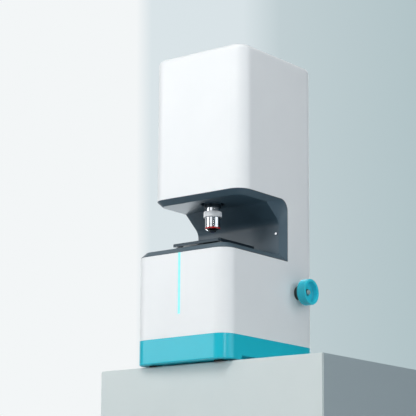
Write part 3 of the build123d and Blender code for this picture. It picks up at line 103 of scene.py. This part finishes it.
# Satin ABS, coloured through: smoother than the housing, so it takes a clear soft highlight.
# The flow of the melt leaves the colour a little uneven over centimetres. The knob is a paler batch.
# Grooves and recesses are painted darker as painted shade: fully where less than the closed share
# of the space round a point is free, and not at all where the open share is free.
plinthTeal = {"name": "satinTealAbs", "low": "10BCD0", "high": "16C6DA", "paintedGrooveShade": "0C8A9C",
              "depth": 0.6 * mm, "closed": 0.6, "open": 0.85, "roughness": 0.3, "grain": 0.6 * mm,
              "cloud": 45 * mm, "relief": 0.006 * mm, "edge": 0.4 * mm}
knobTeal = {"name": "satinPaleTealAbs", "low": "2CD0E6", "high": "40DCF0", "paintedGrooveShade": "045A6E",
            "depth": 1.6 * mm, "closed": 0.6, "open": 0.87, "roughness": 0.24, "grain": 0.6 * mm,
            "cloud": 12 * mm, "relief": 0.004 * mm, "edge": 0.15 * mm}


def satinAbs(look):
    material, tree, shader, place = startMaterial(look["name"], {"Roughness": look["roughness"], "IOR": 1.53})
    cloud = addNode(tree, "ShaderNodeTexNoise", {"Vector": place, "Scale": 1 / look["cloud"], "Detail": 2.0})
    colour = addNode(tree, "ShaderNodeMix", {
        0: cloud.outputs["Fac"], 6: linearColour(look["low"]), 7: linearColour(look["high"]),
    }, data_type="RGBA")
    # Painted shade: ambient occlusion darkens the base colour in grooves and recesses.
    openness = addNode(tree, "ShaderNodeAmbientOcclusion", {"Distance": look["depth"]}, samples=8)
    outside = addNode(tree, "ShaderNodeMapRange", {
        "Value": openness.outputs["AO"], "From Min": look["closed"], "From Max": look["open"],
    })
    shaded = addNode(tree, "ShaderNodeMix", {
        0: outside.outputs["Result"], 6: linearColour(look["paintedGrooveShade"]), 7: colour.outputs[2],
    }, data_type="RGBA")
    link(tree, shaded.outputs[2], shader, "Base Color")
    grain = addNode(tree, "ShaderNodeTexNoise", {"Vector": place, "Scale": 1 / look["grain"], "Detail": 2.0})
    edge = addNode(tree, "ShaderNodeBevel", {"Radius": look["edge"]}, samples=4)
    bump = addNode(tree, "ShaderNodeBump", {
        "Height": grain.outputs["Fac"], "Distance": look["relief"], "Normal": edge.outputs["Normal"],
    })
    link(tree, bump.outputs["Normal"], shader, "Normal")
    return material


# Satin ABS in slate grey. A dark line half a millimetre wide is painted shade, standing for the shadow gap
# beside the housing.
# The deck is a paler, smoother moulding than the liner, so its bevelled rim catches more of the light.
linerGrey = {"name": "satinSlateAbs", "low": "3E5462", "high": "4A616F", "paintedGapShade": "14171A", "slack": 0.05 * mm,
             "roughness": 0.41, "grain": 0.5 * mm, "cloud": 30 * mm, "relief": 0.008 * mm, "edge": 0.9 * mm}
deckGrey = {"name": "satinPaleSlateAbs", "low": "4B5C66", "high": "566872", "paintedGapShade": "14171A",
            "slack": 0.05 * mm, "roughness": 0.3, "grain": 0.5 * mm, "cloud": 30 * mm,
            "relief": 0.008 * mm, "edge": 2.0 * mm}


def slateAbs(look):
    material, tree, shader, place = startMaterial(look["name"], {"Roughness": look["roughness"], "IOR": 1.53})
    cloud = addNode(tree, "ShaderNodeTexNoise", {"Vector": place, "Scale": 1 / look["cloud"], "Detail": 3.0})
    colour = addNode(tree, "ShaderNodeMix", {
        0: cloud.outputs["Fac"], 6: linearColour(look["low"]), 7: linearColour(look["high"]),
    }, data_type="RGBA")
    # The land beside the housing is where the piece reaches its full width, within a little slack.
    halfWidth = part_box("bay_liner")[1].x
    across = addNode(tree, "ShaderNodeSeparateXYZ", {"Vector": place})
    offCentre = addNode(tree, "ShaderNodeMath", {0: across.outputs["X"]}, operation="ABSOLUTE")
    land = addNode(tree, "ShaderNodeMath", {
        0: offCentre.outputs["Value"], 1: halfWidth - look["slack"],
    }, operation="GREATER_THAN")
    # Painted shade: the land is coloured near-black where the gap beside the housing lies in shade.
    withPaintedGapShade = addNode(tree, "ShaderNodeMix", {
        0: land.outputs["Value"], 6: colour.outputs[2], 7: linearColour(look["paintedGapShade"]),
    }, data_type="RGBA")
    link(tree, withPaintedGapShade.outputs[2], shader, "Base Color")
    grain = addNode(tree, "ShaderNodeTexNoise", {"Vector": place, "Scale": 1 / look["grain"], "Detail": 2.0})
    edge = addNode(tree, "ShaderNodeBevel", {"Radius": look["edge"]}, samples=4)
    bump = addNode(tree, "ShaderNodeBump", {
        "Height": grain.outputs["Fac"], "Distance": look["relief"], "Normal": edge.outputs["Normal"],
    })
    link(tree, bump.outputs["Normal"], shader, "Normal")
    return material


# Black moulded plastic with a fine matt texture, which keeps it from looking wet.
trimBlack = {"low": "0B0B0D", "high": "17181A", "grain": 0.5 * mm, "relief": 0.01 * mm, "edge": 0.25 * mm}


def mattBlackPlastic():
    look = trimBlack
    material, tree, shader, place = startMaterial("mattBlackPlastic", {"Roughness": 0.5, "IOR": 1.5})
    grain = addNode(tree, "ShaderNodeTexNoise", {"Vector": place, "Scale": 1 / look["grain"], "Detail": 2.0})
    colour = addNode(tree, "ShaderNodeMix", {
        0: grain.outputs["Fac"], 6: linearColour(look["low"]), 7: linearColour(look["high"]),
    }, data_type="RGBA")
    link(tree, colour.outputs[2], shader, "Base Color")
    edge = addNode(tree, "ShaderNodeBevel", {"Radius": look["edge"]}, samples=4)
    bump = addNode(tree, "ShaderNodeBump", {
        "Height": grain.outputs["Fac"], "Distance": look["relief"], "Normal": edge.outputs["Normal"],
    })
    link(tree, bump.outputs["Normal"], shader, "Normal")
    return material


# Metals

# Black anodised aluminium, turned: a dark oxide over fine lathe lines, so a narrow satin sheen.
# The lines are about 0.1 mm apart, drawn as 0.5 mm. The dye leaves the sheen a little blue.
anodisedBlack = {"low": "10181E", "high": "1A252D", "sheen": "B4CCDC", "line": 0.5 * mm, "relief": 0.01 * mm}


def blackAnodisedAluminium():
    look = anodisedBlack
    material, tree, shader, place = startMaterial("blackAnodisedAluminium", {
        "Roughness": 0.3, "IOR": 1.6, "Specular Tint": linearColour(look["sheen"]),
    })
    lines = addNode(tree, "ShaderNodeTexWave", {
        "Vector": place, "Scale": bandRepeat / look["line"], "Distortion": 0.6, "Detail": 1.0,
    }, wave_type="BANDS", bands_direction="Z")
    colour = addNode(tree, "ShaderNodeMix", {
        0: lines.outputs["Fac"], 6: linearColour(look["low"]), 7: linearColour(look["high"]),
    }, data_type="RGBA")
    link(tree, colour.outputs[2], shader, "Base Color")
    bump = addNode(tree, "ShaderNodeBump", {"Height": lines.outputs["Fac"], "Distance": look["relief"]})
    link(tree, bump.outputs["Normal"], shader, "Normal")
    return material


# Turned brass with bright chrome plate: mirror bands along the barrel, softened by faint lathe lines.
chromePlate = {"low": "C9CDD1", "high": "E6E9EB", "line": 0.8 * mm, "relief": 0.002 * mm}


def polishedChromePlate():
    look = chromePlate
    material, tree, shader, place = startMaterial("polishedChromePlate", {"Metallic": 1.0, "Roughness": 0.12})
    lines = addNode(tree, "ShaderNodeTexWave", {
        "Vector": place, "Scale": bandRepeat / look["line"], "Distortion": 1.0, "Detail": 2.0,
    }, wave_type="BANDS", bands_direction="Z")
    colour = addNode(tree, "ShaderNodeMix", {
        0: lines.outputs["Fac"], 6: linearColour(look["low"]), 7: linearColour(look["high"]),
    }, data_type="RGBA")
    link(tree, colour.outputs[2], shader, "Base Color")
    bump = addNode(tree, "ShaderNodeBump", {"Height": lines.outputs["Fac"], "Distance": look["relief"]})
    link(tree, bump.outputs["Normal"], shader, "Normal")
    return material


# Finely knurled aluminium with a pale satin finish: its facets scatter the light, so it looks almost white.
# The knurl's diamonds are 0.6 mm, drawn as 0.9 mm so that they mottle the ring.
# The knob's screw is blasted stainless steel, a little warmer and smoother.
knurlPlate = {"name": "knurledSatinAluminium", "low": "E0E3E6", "high": "FFFFFF", "roughness": 0.62,
              "grain": 0.9 * mm, "relief": 0.02 * mm}
screwSteel = {"name": "blastedStainlessSteel", "low": "EDEBE6", "high": "FCFAF4", "roughness": 0.42,
              "grain": 0.3 * mm, "relief": 0.004 * mm}


def satinMetal(look):
    material, tree, shader, place = startMaterial(look["name"], {
        "Metallic": 1.0, "Roughness": look["roughness"],
    })
    grain = addNode(tree, "ShaderNodeTexNoise", {"Vector": place, "Scale": 1 / look["grain"], "Detail": 2.0})
    colour = addNode(tree, "ShaderNodeMix", {
        0: grain.outputs["Fac"], 6: linearColour(look["low"]), 7: linearColour(look["high"]),
    }, data_type="RGBA")
    link(tree, colour.outputs[2], shader, "Base Color")
    bump = addNode(tree, "ShaderNodeBump", {"Height": grain.outputs["Fac"], "Distance": look["relief"]})
    link(tree, bump.outputs["Normal"], shader, "Normal")
    return material


# Red stoving enamel in the ring's groove: glossy, a little uneven where it was wiped in.
ringRed = {"low": "A80F12", "high": "C81A1C", "cloud": 3 * mm}


def redEnamel():
    look = ringRed
    material, tree, shader, place = startMaterial("redEnamel", {
        "Roughness": 0.18, "IOR": 1.5, "Coat Weight": 0.5,
    })
    cloud = addNode(tree, "ShaderNodeTexNoise", {"Vector": place, "Scale": 1 / look["cloud"], "Detail": 2.0})
    colour = addNode(tree, "ShaderNodeMix", {
        0: cloud.outputs["Fac"], 6: linearColour(look["low"]), 7: linearColour(look["high"]),
    }, data_type="RGBA")
    link(tree, colour.outputs[2], shader, "Base Color")
    return material


# Milled aluminium, not coated: fine cutter lines and a dull grey-white shine.
# The cutter's lines are 0.2 mm apart, drawn as 1 mm.
milledPlate = {"low": "A9ACAF", "high": "C6C9CB", "line": 1.0 * mm, "relief": 0.01 * mm}


def milledAluminium():
    look = milledPlate
    material, tree, shader, place = startMaterial("milledAluminium", {"Metallic": 1.0, "Roughness": 0.38})
    lines = addNode(tree, "ShaderNodeTexWave", {
        "Vector": place, "Scale": bandRepeat / look["line"], "Distortion": 2.0, "Detail": 2.0,
    }, wave_type="BANDS", bands_direction="X")
    colour = addNode(tree, "ShaderNodeMix", {
        0: lines.outputs["Fac"], 6: linearColour(look["low"]), 7: linearColour(look["high"]),
    }, data_type="RGBA")
    link(tree, colour.outputs[2], shader, "Base Color")
    bump = addNode(tree, "ShaderNodeBump", {"Height": lines.outputs["Fac"], "Distance": look["relief"]})
    link(tree, bump.outputs["Normal"], shader, "Normal")
    return material


# Ground steel: straight fine scratches from the wheel, brighter than the milled plates.
groundBar = {"low": "8F9296", "high": "C2C5C8", "grain": 0.4 * mm, "relief": 0.004 * mm}


def groundSteel():
    look = groundBar
    material, tree, shader, place = startMaterial("groundSteel", {"Metallic": 1.0, "Roughness": 0.24})
    grain = addNode(tree, "ShaderNodeTexNoise", {"Vector": place, "Scale": 1 / look["grain"], "Detail": 3.0})
    colour = addNode(tree, "ShaderNodeMix", {
        0: grain.outputs["Fac"], 6: linearColour(look["low"]), 7: linearColour(look["high"]),
    }, data_type="RGBA")
    link(tree, colour.outputs[2], shader, "Base Color")
    bump = addNode(tree, "ShaderNodeBump", {"Height": grain.outputs["Fac"], "Distance": look["relief"]})
    link(tree, bump.outputs["Normal"], shader, "Normal")
    return material


# Sintered bronze, oiled: brown-gold with dark pores. The pores are 0.1 mm, drawn as 0.5 mm.
bushBronze = {"low": "6E4A25", "high": "B98B4E", "pore": 0.5 * mm, "relief": 0.02 * mm}


def sinteredBronze():
    look = bushBronze
    material, tree, shader, place = startMaterial("sinteredBronze", {"Metallic": 1.0, "Roughness": 0.4})
    pores = addNode(tree, "ShaderNodeTexVoronoi", {"Vector": place, "Scale": 1 / look["pore"]})
    colour = addNode(tree, "ShaderNodeMix", {
        0: pores.outputs["Distance"], 6: linearColour(look["low"]), 7: linearColour(look["high"]),
    }, data_type="RGBA")
    link(tree, colour.outputs[2], shader, "Base Color")
    bump = addNode(tree, "ShaderNodeBump", {"Height": pores.outputs["Distance"], "Distance": look["relief"]})
    link(tree, bump.outputs["Normal"], shader, "Normal")
    return material


# Hobbed brass, left bright: warm yellow with slight tarnish clouds.
gearBrass = {"low": "A8823E", "high": "D3B069", "cloud": 4 * mm}


def hobbedBrass():
    look = gearBrass
    material, tree, shader, place = startMaterial("hobbedBrass", {"Metallic": 1.0, "Roughness": 0.26})
    cloud = addNode(tree, "ShaderNodeTexNoise", {"Vector": place, "Scale": 1 / look["cloud"], "Detail": 4.0})
    colour = addNode(tree, "ShaderNodeMix", {
        0: cloud.outputs["Fac"], 6: linearColour(look["low"]), 7: linearColour(look["high"]),
    }, data_type="RGBA")
    link(tree, colour.outputs[2], shader, "Base Color")
    return material


# Other inner pieces

# Moulded acetal: milky white, a little light goes into it, waxy sheen.
gearWhite = {"low": "DAD8CE", "high": "E8E6DD", "cloud": 6 * mm}


def mouldedAcetal():
    look = gearWhite
    material, tree, shader, place = startMaterial("mouldedAcetal", {"Roughness": 0.36, "IOR": 1.48})
    cloud = addNode(tree, "ShaderNodeTexNoise", {"Vector": place, "Scale": 1 / look["cloud"], "Detail": 2.0})
    colour = addNode(tree, "ShaderNodeMix", {
        0: cloud.outputs["Fac"], 6: linearColour(look["low"]), 7: linearColour(look["high"]),
    }, data_type="RGBA")
    link(tree, colour.outputs[2], shader, "Base Color")
    return material


# Glass-fibre board under green solder mask: tracks show as paler lines 1.3 mm apart.
# The tracks' width and length are given in pitches.
boardGreen = {"mask": "0B3A1F", "track": "1B5B33", "pitch": 1.3 * mm, "width": 0.18, "length": 9,
              "relief": 0.03 * mm}


def solderMaskBoard():
    look = boardGreen
    material, tree, shader, place = startMaterial("solderMaskBoard", {"Roughness": 0.28, "IOR": 1.5})
    mask = linearColour(look["mask"])
    tracks = addNode(tree, "ShaderNodeTexBrick", {
        "Vector": place, "Scale": 1.0, "Color1": mask, "Color2": mask,
        "Mortar": linearColour(look["track"]), "Mortar Size": look["width"] * look["pitch"],
        "Brick Width": look["length"] * look["pitch"], "Row Height": look["pitch"],
    })
    link(tree, tracks.outputs["Color"], shader, "Base Color")
    bump = addNode(tree, "ShaderNodeBump", {"Height": tracks.outputs["Fac"], "Distance": look["relief"]})
    link(tree, bump.outputs["Normal"], shader, "Normal")
    return material


# Optical glass with a magnesium fluoride coat, which leaves a faint violet sheen.
# A little dust dulls it in patches, from where the noise passes thin to where it reaches thick.
lensGlass = {"tint": "F2F7FA", "coat": "B9A6E8", "dust": 1.5 * mm, "thin": 0.55, "thick": 0.8, "haze": 0.12}


def coatedGlass():
    look = lensGlass
    material, tree, shader, place = startMaterial("coatedGlass", {
        "Base Color": linearColour(look["tint"]), "IOR": 1.52, "Transmission Weight": 1.0,
        "Coat Weight": 0.4, "Coat Tint": linearColour(look["coat"]),
    })
    dust = addNode(tree, "ShaderNodeTexNoise", {"Vector": place, "Scale": 1 / look["dust"], "Detail": 4.0})
    haze = addNode(tree, "ShaderNodeMapRange", {
        "Value": dust.outputs["Fac"], "From Min": look["thin"], "From Max": look["thick"],
        "To Max": look["haze"],
    })
    link(tree, haze.outputs["Result"], shader, "Roughness")
    return material


# Opal acrylic lit from behind: it glows evenly, a little paler at the middle of each diode.
stripGlow = {"resin": "10454C", "low": "8CF4F9", "high": "98F9FD", "pitch": 12 * mm, "strength": 0.95}


def opalAcrylic():
    look = stripGlow
    material, tree, shader, place = startMaterial("opalAcrylic", {
        "Base Color": linearColour(look["resin"]), "Roughness": 0.3, "IOR": 1.49,
        "Emission Strength": look["strength"],
    })
    diodes = addNode(tree, "ShaderNodeTexWave", {
        "Vector": place, "Scale": bandRepeat / look["pitch"],
    }, wave_type="BANDS", bands_direction="Z")
    colour = addNode(tree, "ShaderNodeMix", {
        0: diodes.outputs["Fac"], 6: linearColour(look["low"]), 7: linearColour(look["high"]),
    }, data_type="RGBA")
    link(tree, colour.outputs[2], shader, "Emission Color")
    return material


# Clear epoxy over the diode's yellow phosphor.
diodeYellow = {"low": "D8C45A", "high": "F0E08A", "cloud": 1.5 * mm}


def phosphorEpoxy():
    look = diodeYellow
    material, tree, shader, place = startMaterial("phosphorEpoxy", {"Roughness": 0.1, "IOR": 1.5})
    cloud = addNode(tree, "ShaderNodeTexNoise", {"Vector": place, "Scale": 1 / look["cloud"], "Detail": 2.0})
    colour = addNode(tree, "ShaderNodeMix", {
        0: cloud.outputs["Fac"], 6: linearColour(look["low"]), 7: linearColour(look["high"]),
    }, data_type="RGBA")
    link(tree, colour.outputs[2], shader, "Base Color")
    return material


# Moulded rubber: dark grey, dull, with dust in its texture.
footRubber = {"low": "111112", "high": "242526", "grain": 0.6 * mm, "relief": 0.03 * mm}


def mouldedRubber():
    look = footRubber
    material, tree, shader, place = startMaterial("mouldedRubber", {"Roughness": 0.78, "IOR": 1.5})
    grain = addNode(tree, "ShaderNodeTexNoise", {"Vector": place, "Scale": 1 / look["grain"], "Detail": 3.0})
    colour = addNode(tree, "ShaderNodeMix", {
        0: grain.outputs["Fac"], 6: linearColour(look["low"]), 7: linearColour(look["high"]),
    }, data_type="RGBA")
    link(tree, colour.outputs[2], shader, "Base Color")
    bump = addNode(tree, "ShaderNodeBump", {"Height": grain.outputs["Fac"], "Distance": look["relief"]})
    link(tree, bump.outputs["Normal"], shader, "Normal")
    return material


whiteAbs = sparkErodedWhiteAbs()
blackPlastic = mattBlackPlastic()
anodised = blackAnodisedAluminium()
chrome = polishedChromePlate()
aluminium = milledAluminium()
steel = groundSteel()
bronze = sinteredBronze()
brass = hobbedBrass()
board = solderMaskBoard()
glass = coatedGlass()

dress(whiteAbs, "main_housing", "rear_cover")
dress(satinAbs(plinthTeal), "base_plinth")
dress(satinAbs(knobTeal), "focus_knob")
dress(slateAbs(linerGrey), "bay_liner", "objective_mount")
dress(slateAbs(deckGrey), "stage_deck")
dress(blackPlastic, "slide_insert", "knob_collar", "knob_washer", "switch_body", "switch_rocker",
      "power_jack")
dress(anodised, "stage_plate", "objective_collar", "objective_nose", "tube_lens_barrel", "condenser_tube",
      "camera_body")
dress(chrome, "objective_barrel")
dress(satinMetal(knurlPlate), "objective_knurled_ring")
dress(satinMetal(screwSteel), "knob_screw")
dress(redEnamel(), "objective_colour_ring")
dress(glass, "objective_front_lens", "tube_lens", "condenser_lens")
dress(opalAcrylic(), "light_bar_diffuser")
dress(phosphorEpoxy(), "light_source_led")
dress(aluminium, "base_plate", "backbone_plate", "backbone_brackets", "head_arm", "stage_carriage",
      "stage_posts", "rod_bridge", "gearbox_cheeks", "led_heat_sink", "processor_heat_sink")
dress(steel, "guide_rods", "layshaft", "focus_shaft", "rear_cover_screws", "base_screws", "liner_screws",
      "board_standoffs", "usb_socket")
dress(bronze, "carriage_bushes", "layshaft_bearings", "shaft_bearing")
dress(mouldedAcetal(), "reduction_gear")
dress(brass, "focus_rack", "rack_pinion", "drive_pinion")
dress(board, "main_board", "camera_board", "connector_board", "light_source_board", "light_bar_board")
dress(mouldedRubber(), "feet")
print("materials:", len(bpy.data.materials))


# Stand, floor, light and camera

# The pale block that the instrument stands on, in millimetres. Its front edge runs a little askew to the
# instrument. Facing and flat are how square a face must be to an axis to be its side, or not a bevel.
standBlock = {"frontLeft": (-142.0, -92.5), "frontRight": (211.0, -79.5), "backRight": (218.0, 330.0),
              "backLeft": (-166.0, 330.0), "height": 300.0, "edge": 1.2, "low": "D2DBDB", "high": "DAE2E1",
              "side": "A3B0B5", "paintedEdgeHighlight": "FAFCFC", "cloudsPerMetre": 12.0, "facing": 0.95, "flat": 0.97}


def addStand():
    look = standBlock
    mesh = bmesh.new()
    corners = [look["frontLeft"], look["frontRight"], look["backRight"], look["backLeft"]]
    top = [mesh.verts.new((x * mm, y * mm, 0)) for x, y in corners]
    bottom = [mesh.verts.new((x * mm, y * mm, -look["height"] * mm)) for x, y in corners]
    mesh.faces.new(top)
    mesh.faces.new(bottom[::-1])
    for i in range(4):
        j = (i + 1) % 4
        mesh.faces.new((top[i], bottom[i], bottom[j], top[j]))
    bmesh.ops.recalc_face_normals(mesh, faces=mesh.faces)
    bmesh.ops.bevel(mesh, geom=mesh.edges, offset=look["edge"] * mm, segments=2, affect="EDGES")
    material, tree, shader, place = startMaterial("paintedPlaster", {"Roughness": 0.7})
    cloud = addNode(tree, "ShaderNodeTexNoise", {
        "Vector": place, "Scale": look["cloudsPerMetre"], "Detail": 3.0,
    })
    colour = addNode(tree, "ShaderNodeMix", {
        0: cloud.outputs["Fac"], 6: linearColour(look["low"]), 7: linearColour(look["high"]),
    }, data_type="RGBA")
    # The side away from the front light is painted a darker grey, as painted shade.
    normal = addNode(tree, "ShaderNodeNewGeometry").outputs["True Normal"]
    facing = addNode(tree, "ShaderNodeSeparateXYZ", {"Vector": normal})
    side = addNode(tree, "ShaderNodeMath", {
        0: facing.outputs["X"], 1: look["facing"],
    }, operation="GREATER_THAN")
    painted = addNode(tree, "ShaderNodeMix", {
        0: side.outputs["Value"], 6: colour.outputs[2], 7: linearColour(look["side"]),
    }, data_type="RGBA")
    # Its bevelled edges are painted paler, as a painted highlight.
    flat = addNode(tree, "ShaderNodeVectorMath", {0: normal}, operation="ABSOLUTE")
    parts = addNode(tree, "ShaderNodeSeparateXYZ", {"Vector": flat.outputs["Vector"]})
    wide = addNode(tree, "ShaderNodeMath", {
        0: parts.outputs["X"], 1: parts.outputs["Y"],
    }, operation="MAXIMUM")
    most = addNode(tree, "ShaderNodeMath", {
        0: wide.outputs["Value"], 1: parts.outputs["Z"],
    }, operation="MAXIMUM")
    edge = addNode(tree, "ShaderNodeMath", {0: most.outputs["Value"], 1: look["flat"]}, operation="LESS_THAN")
    paintedEdgeHighlight = addNode(tree, "ShaderNodeMix", {
        0: edge.outputs["Value"], 6: painted.outputs[2], 7: linearColour(look["paintedEdgeHighlight"]),
    }, data_type="RGBA")
    link(tree, paintedEdgeHighlight.outputs[2], shader, "Base Color")
    data = bpy.data.meshes.new("stand_block")
    mesh.to_mesh(data)
    mesh.free()
    data.materials.append(material)
    stand = bpy.data.objects.new("stand_block", data)
    bpy.context.scene.collection.objects.link(stand)


# The plain floor under the block, painted matt.
studioFloor = {"half": 1.1, "colour": "DCE1E3"}


def addFloor():
    half = studioFloor["half"]
    low = -standBlock["height"] * mm
    data = bpy.data.meshes.new("studio_floor")
    data.from_pydata([(-half, -half, low), (half, -half, low), (half, half, low), (-half, half, low)], [],
                     [(0, 1, 2, 3)])
    colour = linearColour(studioFloor["colour"])
    paint = startMaterial("paleFloor", {"Base Color": colour, "Roughness": 0.8})[0]
    data.materials.append(paint)
    floor = bpy.data.objects.new("studio_floor", data)
    bpy.context.scene.collection.objects.link(floor)


addStand()
addFloor()

# The camera looks up at the instrument from its front right. Its three angles are in degrees, and its focal
# length and shift in the photograph's pixels.
cameraView = {"place": (1.36339, -1.78372, -0.27931), "azimuth": 38.038, "pitch": 11.830, "roll": 0.3444,
              "focalPixels": 1675.9, "downPixels": 24.0, "imagePixels": 416, "sensor": 36.0}


def addCamera():
    look = cameraView
    azimuth = math.radians(look["azimuth"])
    pitch = math.radians(look["pitch"])
    roll = math.radians(look["roll"])
    level = math.cos(pitch)
    forward = Vector((-math.sin(azimuth) * level, math.cos(azimuth) * level, math.sin(pitch)))
    right = Vector((math.cos(azimuth), math.sin(azimuth), 0))
    up = right.cross(forward)
    rolledRight = right * math.cos(roll) + up * math.sin(roll)
    rolledUp = up * math.cos(roll) - right * math.sin(roll)
    data = bpy.data.cameras.new("camera")
    data.sensor_width = look["sensor"]
    data.lens = look["focalPixels"] * look["sensor"] / look["imagePixels"]
    data.shift_y = look["downPixels"] / look["imagePixels"]
    camera = bpy.data.objects.new("camera", data)
    bpy.context.scene.collection.objects.link(camera)
    turn = Matrix((rolledRight, rolledUp, -forward)).transposed()
    camera.matrix_world = Matrix.Translation(look["place"]) @ turn.to_4x4()
    bpy.context.scene.camera = camera
    return right


cameraRight = addCamera()

# Soft boxes: each one's place, the point that it faces, its size, power and colour.
softBoxes = {
    "leftLight": {"place": (-0.9, -1.0, 0.52), "aim": (0, 0, 0.2), "size": (0.8, 1.0), "power": 7.4,
                  "colour": "FFFFFF"},
    "highLight": {"place": (0.3, -1.22, 1.3), "aim": (0, 0, 0.2), "size": (0.8, 0.8), "power": 14.8,
                  "colour": "FFFFFF"},
    "frontLight": {"place": (0.25, -1.38, 0.56), "aim": (0, 0, 0.2), "size": (0.9, 0.35), "power": 1.2,
                   "colour": "FFFFFF"},
    "edgeLight": {"place": (1.2, -0.9, 0.22), "aim": (0, 0, 0.1), "size": (0.12, 0.46), "power": 2.4,
                  "colour": "FFFFFF"},
    "topLight": {"place": (0.45, -0.25, 1.45), "aim": (0, 0, 0.15), "size": (0.35, 0.35), "power": 2.0,
                 "colour": "FFFFFF"},
    "rightLight": {"place": (1.36, 0.2, 0.55), "aim": (0, 0, 0.2), "size": (1.2, 1.1), "power": 6.1,
                   "colour": "F4FAFF"},
    "backLight": {"place": (-0.6, 1.6, 0.7), "aim": (0, 0, 0.2), "size": (1.2, 1.2), "power": 8.0,
                  "colour": "FFFFFF"},
    "bounceLight": {"place": (-0.95, 1.15, -0.04), "aim": (0, 0, 0.2), "size": (1.0, 0.36), "power": 4.0,
                    "colour": "F2FAFF"},
}


def addSoftBoxes():
    for name, look in softBoxes.items():
        data = bpy.data.lights.new(name, "AREA")
        data.shape = "RECTANGLE"
        data.size, data.size_y = look["size"]
        data.energy = look["power"]
        data.color = linearColour(look["colour"])[:3]
        light = bpy.data.objects.new(name, data)
        light.location = look["place"]
        aim = Vector(look["aim"]) - Vector(look["place"])
        light.rotation_euler = aim.to_track_quat("-Z", "Y").to_euler()
        light.visible_camera = False
        bpy.context.scene.collection.objects.link(light)


addSoftBoxes()

# The room: a pale backdrop behind the instrument, brighter to the left, and a dim room round the rest.
# Each of the backdrop's stops is a direction, as the sine of the angle to the right, and its colour.
# A mirror shows the backdrop behind the instrument, and the dim room from mirrorEnd on. Both ends are the
# cosine of the angle to the camera.
room = {"stops": [(-0.043, "F3F6F7"), (-0.034, "DAE4E8"), (0.02, "D9E3E7"), (0.042, "C1CFD3"),
                  (0.124, "B2C4C8")],
        "ambient": "353C40", "dim": "46515A", "mirrorStart": -0.8, "mirrorEnd": -0.55}


def addRoom():
    world = bpy.data.worlds.new("room")
    bpy.context.scene.world = world
    world.use_nodes = True
    tree = world.node_tree
    tree.nodes.clear()
    direction = addNode(tree, "ShaderNodeTexCoord").outputs["Generated"]
    across = addNode(tree, "ShaderNodeVectorMath", {0: direction, 1: cameraRight}, operation="DOT_PRODUCT")
    backdrop = linearColour(room["stops"][0][1])
    for (start, _), (end, hexText) in zip(room["stops"], room["stops"][1:]):
        part = addNode(tree, "ShaderNodeMapRange", {
            "Value": across.outputs["Value"], "From Min": start, "From Max": end,
        })
        backdrop = addNode(tree, "ShaderNodeMix", {
            0: part.outputs["Result"], 6: backdrop, 7: linearColour(hexText),
        }, data_type="RGBA").outputs[2]
    ambient = addNode(tree, "ShaderNodeBackground", {"Color": linearColour(room["ambient"])})
    shown = addNode(tree, "ShaderNodeBackground", {"Color": backdrop})
    rays = addNode(tree, "ShaderNodeLightPath")
    seen = addNode(tree, "ShaderNodeMath", {
        0: rays.outputs["Is Camera Ray"], 1: rays.outputs["Is Transmission Ray"],
    }, operation="MAXIMUM")
    towardsCamera = Vector(cameraView["place"]).normalized()
    facing = addNode(tree, "ShaderNodeVectorMath", {0: direction, 1: towardsCamera}, operation="DOT_PRODUCT")
    past = addNode(tree, "ShaderNodeMapRange", {
        "Value": facing.outputs["Value"], "From Min": room["mirrorStart"], "From Max": room["mirrorEnd"],
    })
    mirrored = addNode(tree, "ShaderNodeMix", {
        0: past.outputs["Result"], 6: backdrop, 7: linearColour(room["dim"]),
    }, data_type="RGBA")
    reflected = addNode(tree, "ShaderNodeBackground", {"Color": mirrored.outputs[2]})
    glossy = addNode(tree, "ShaderNodeMixShader", {
        0: rays.outputs["Is Glossy Ray"], 1: ambient.outputs[0], 2: reflected.outputs[0],
    })
    whole = addNode(tree, "ShaderNodeMixShader", {
        0: seen.outputs[0], 1: glossy.outputs[0], 2: shown.outputs[0],
    })
    addNode(tree, "ShaderNodeOutputWorld", {"Surface": whole.outputs[0]})


addRoom()
bpy.context.scene.view_settings.view_transform = "Standard"
print("stage, light and camera are in place")
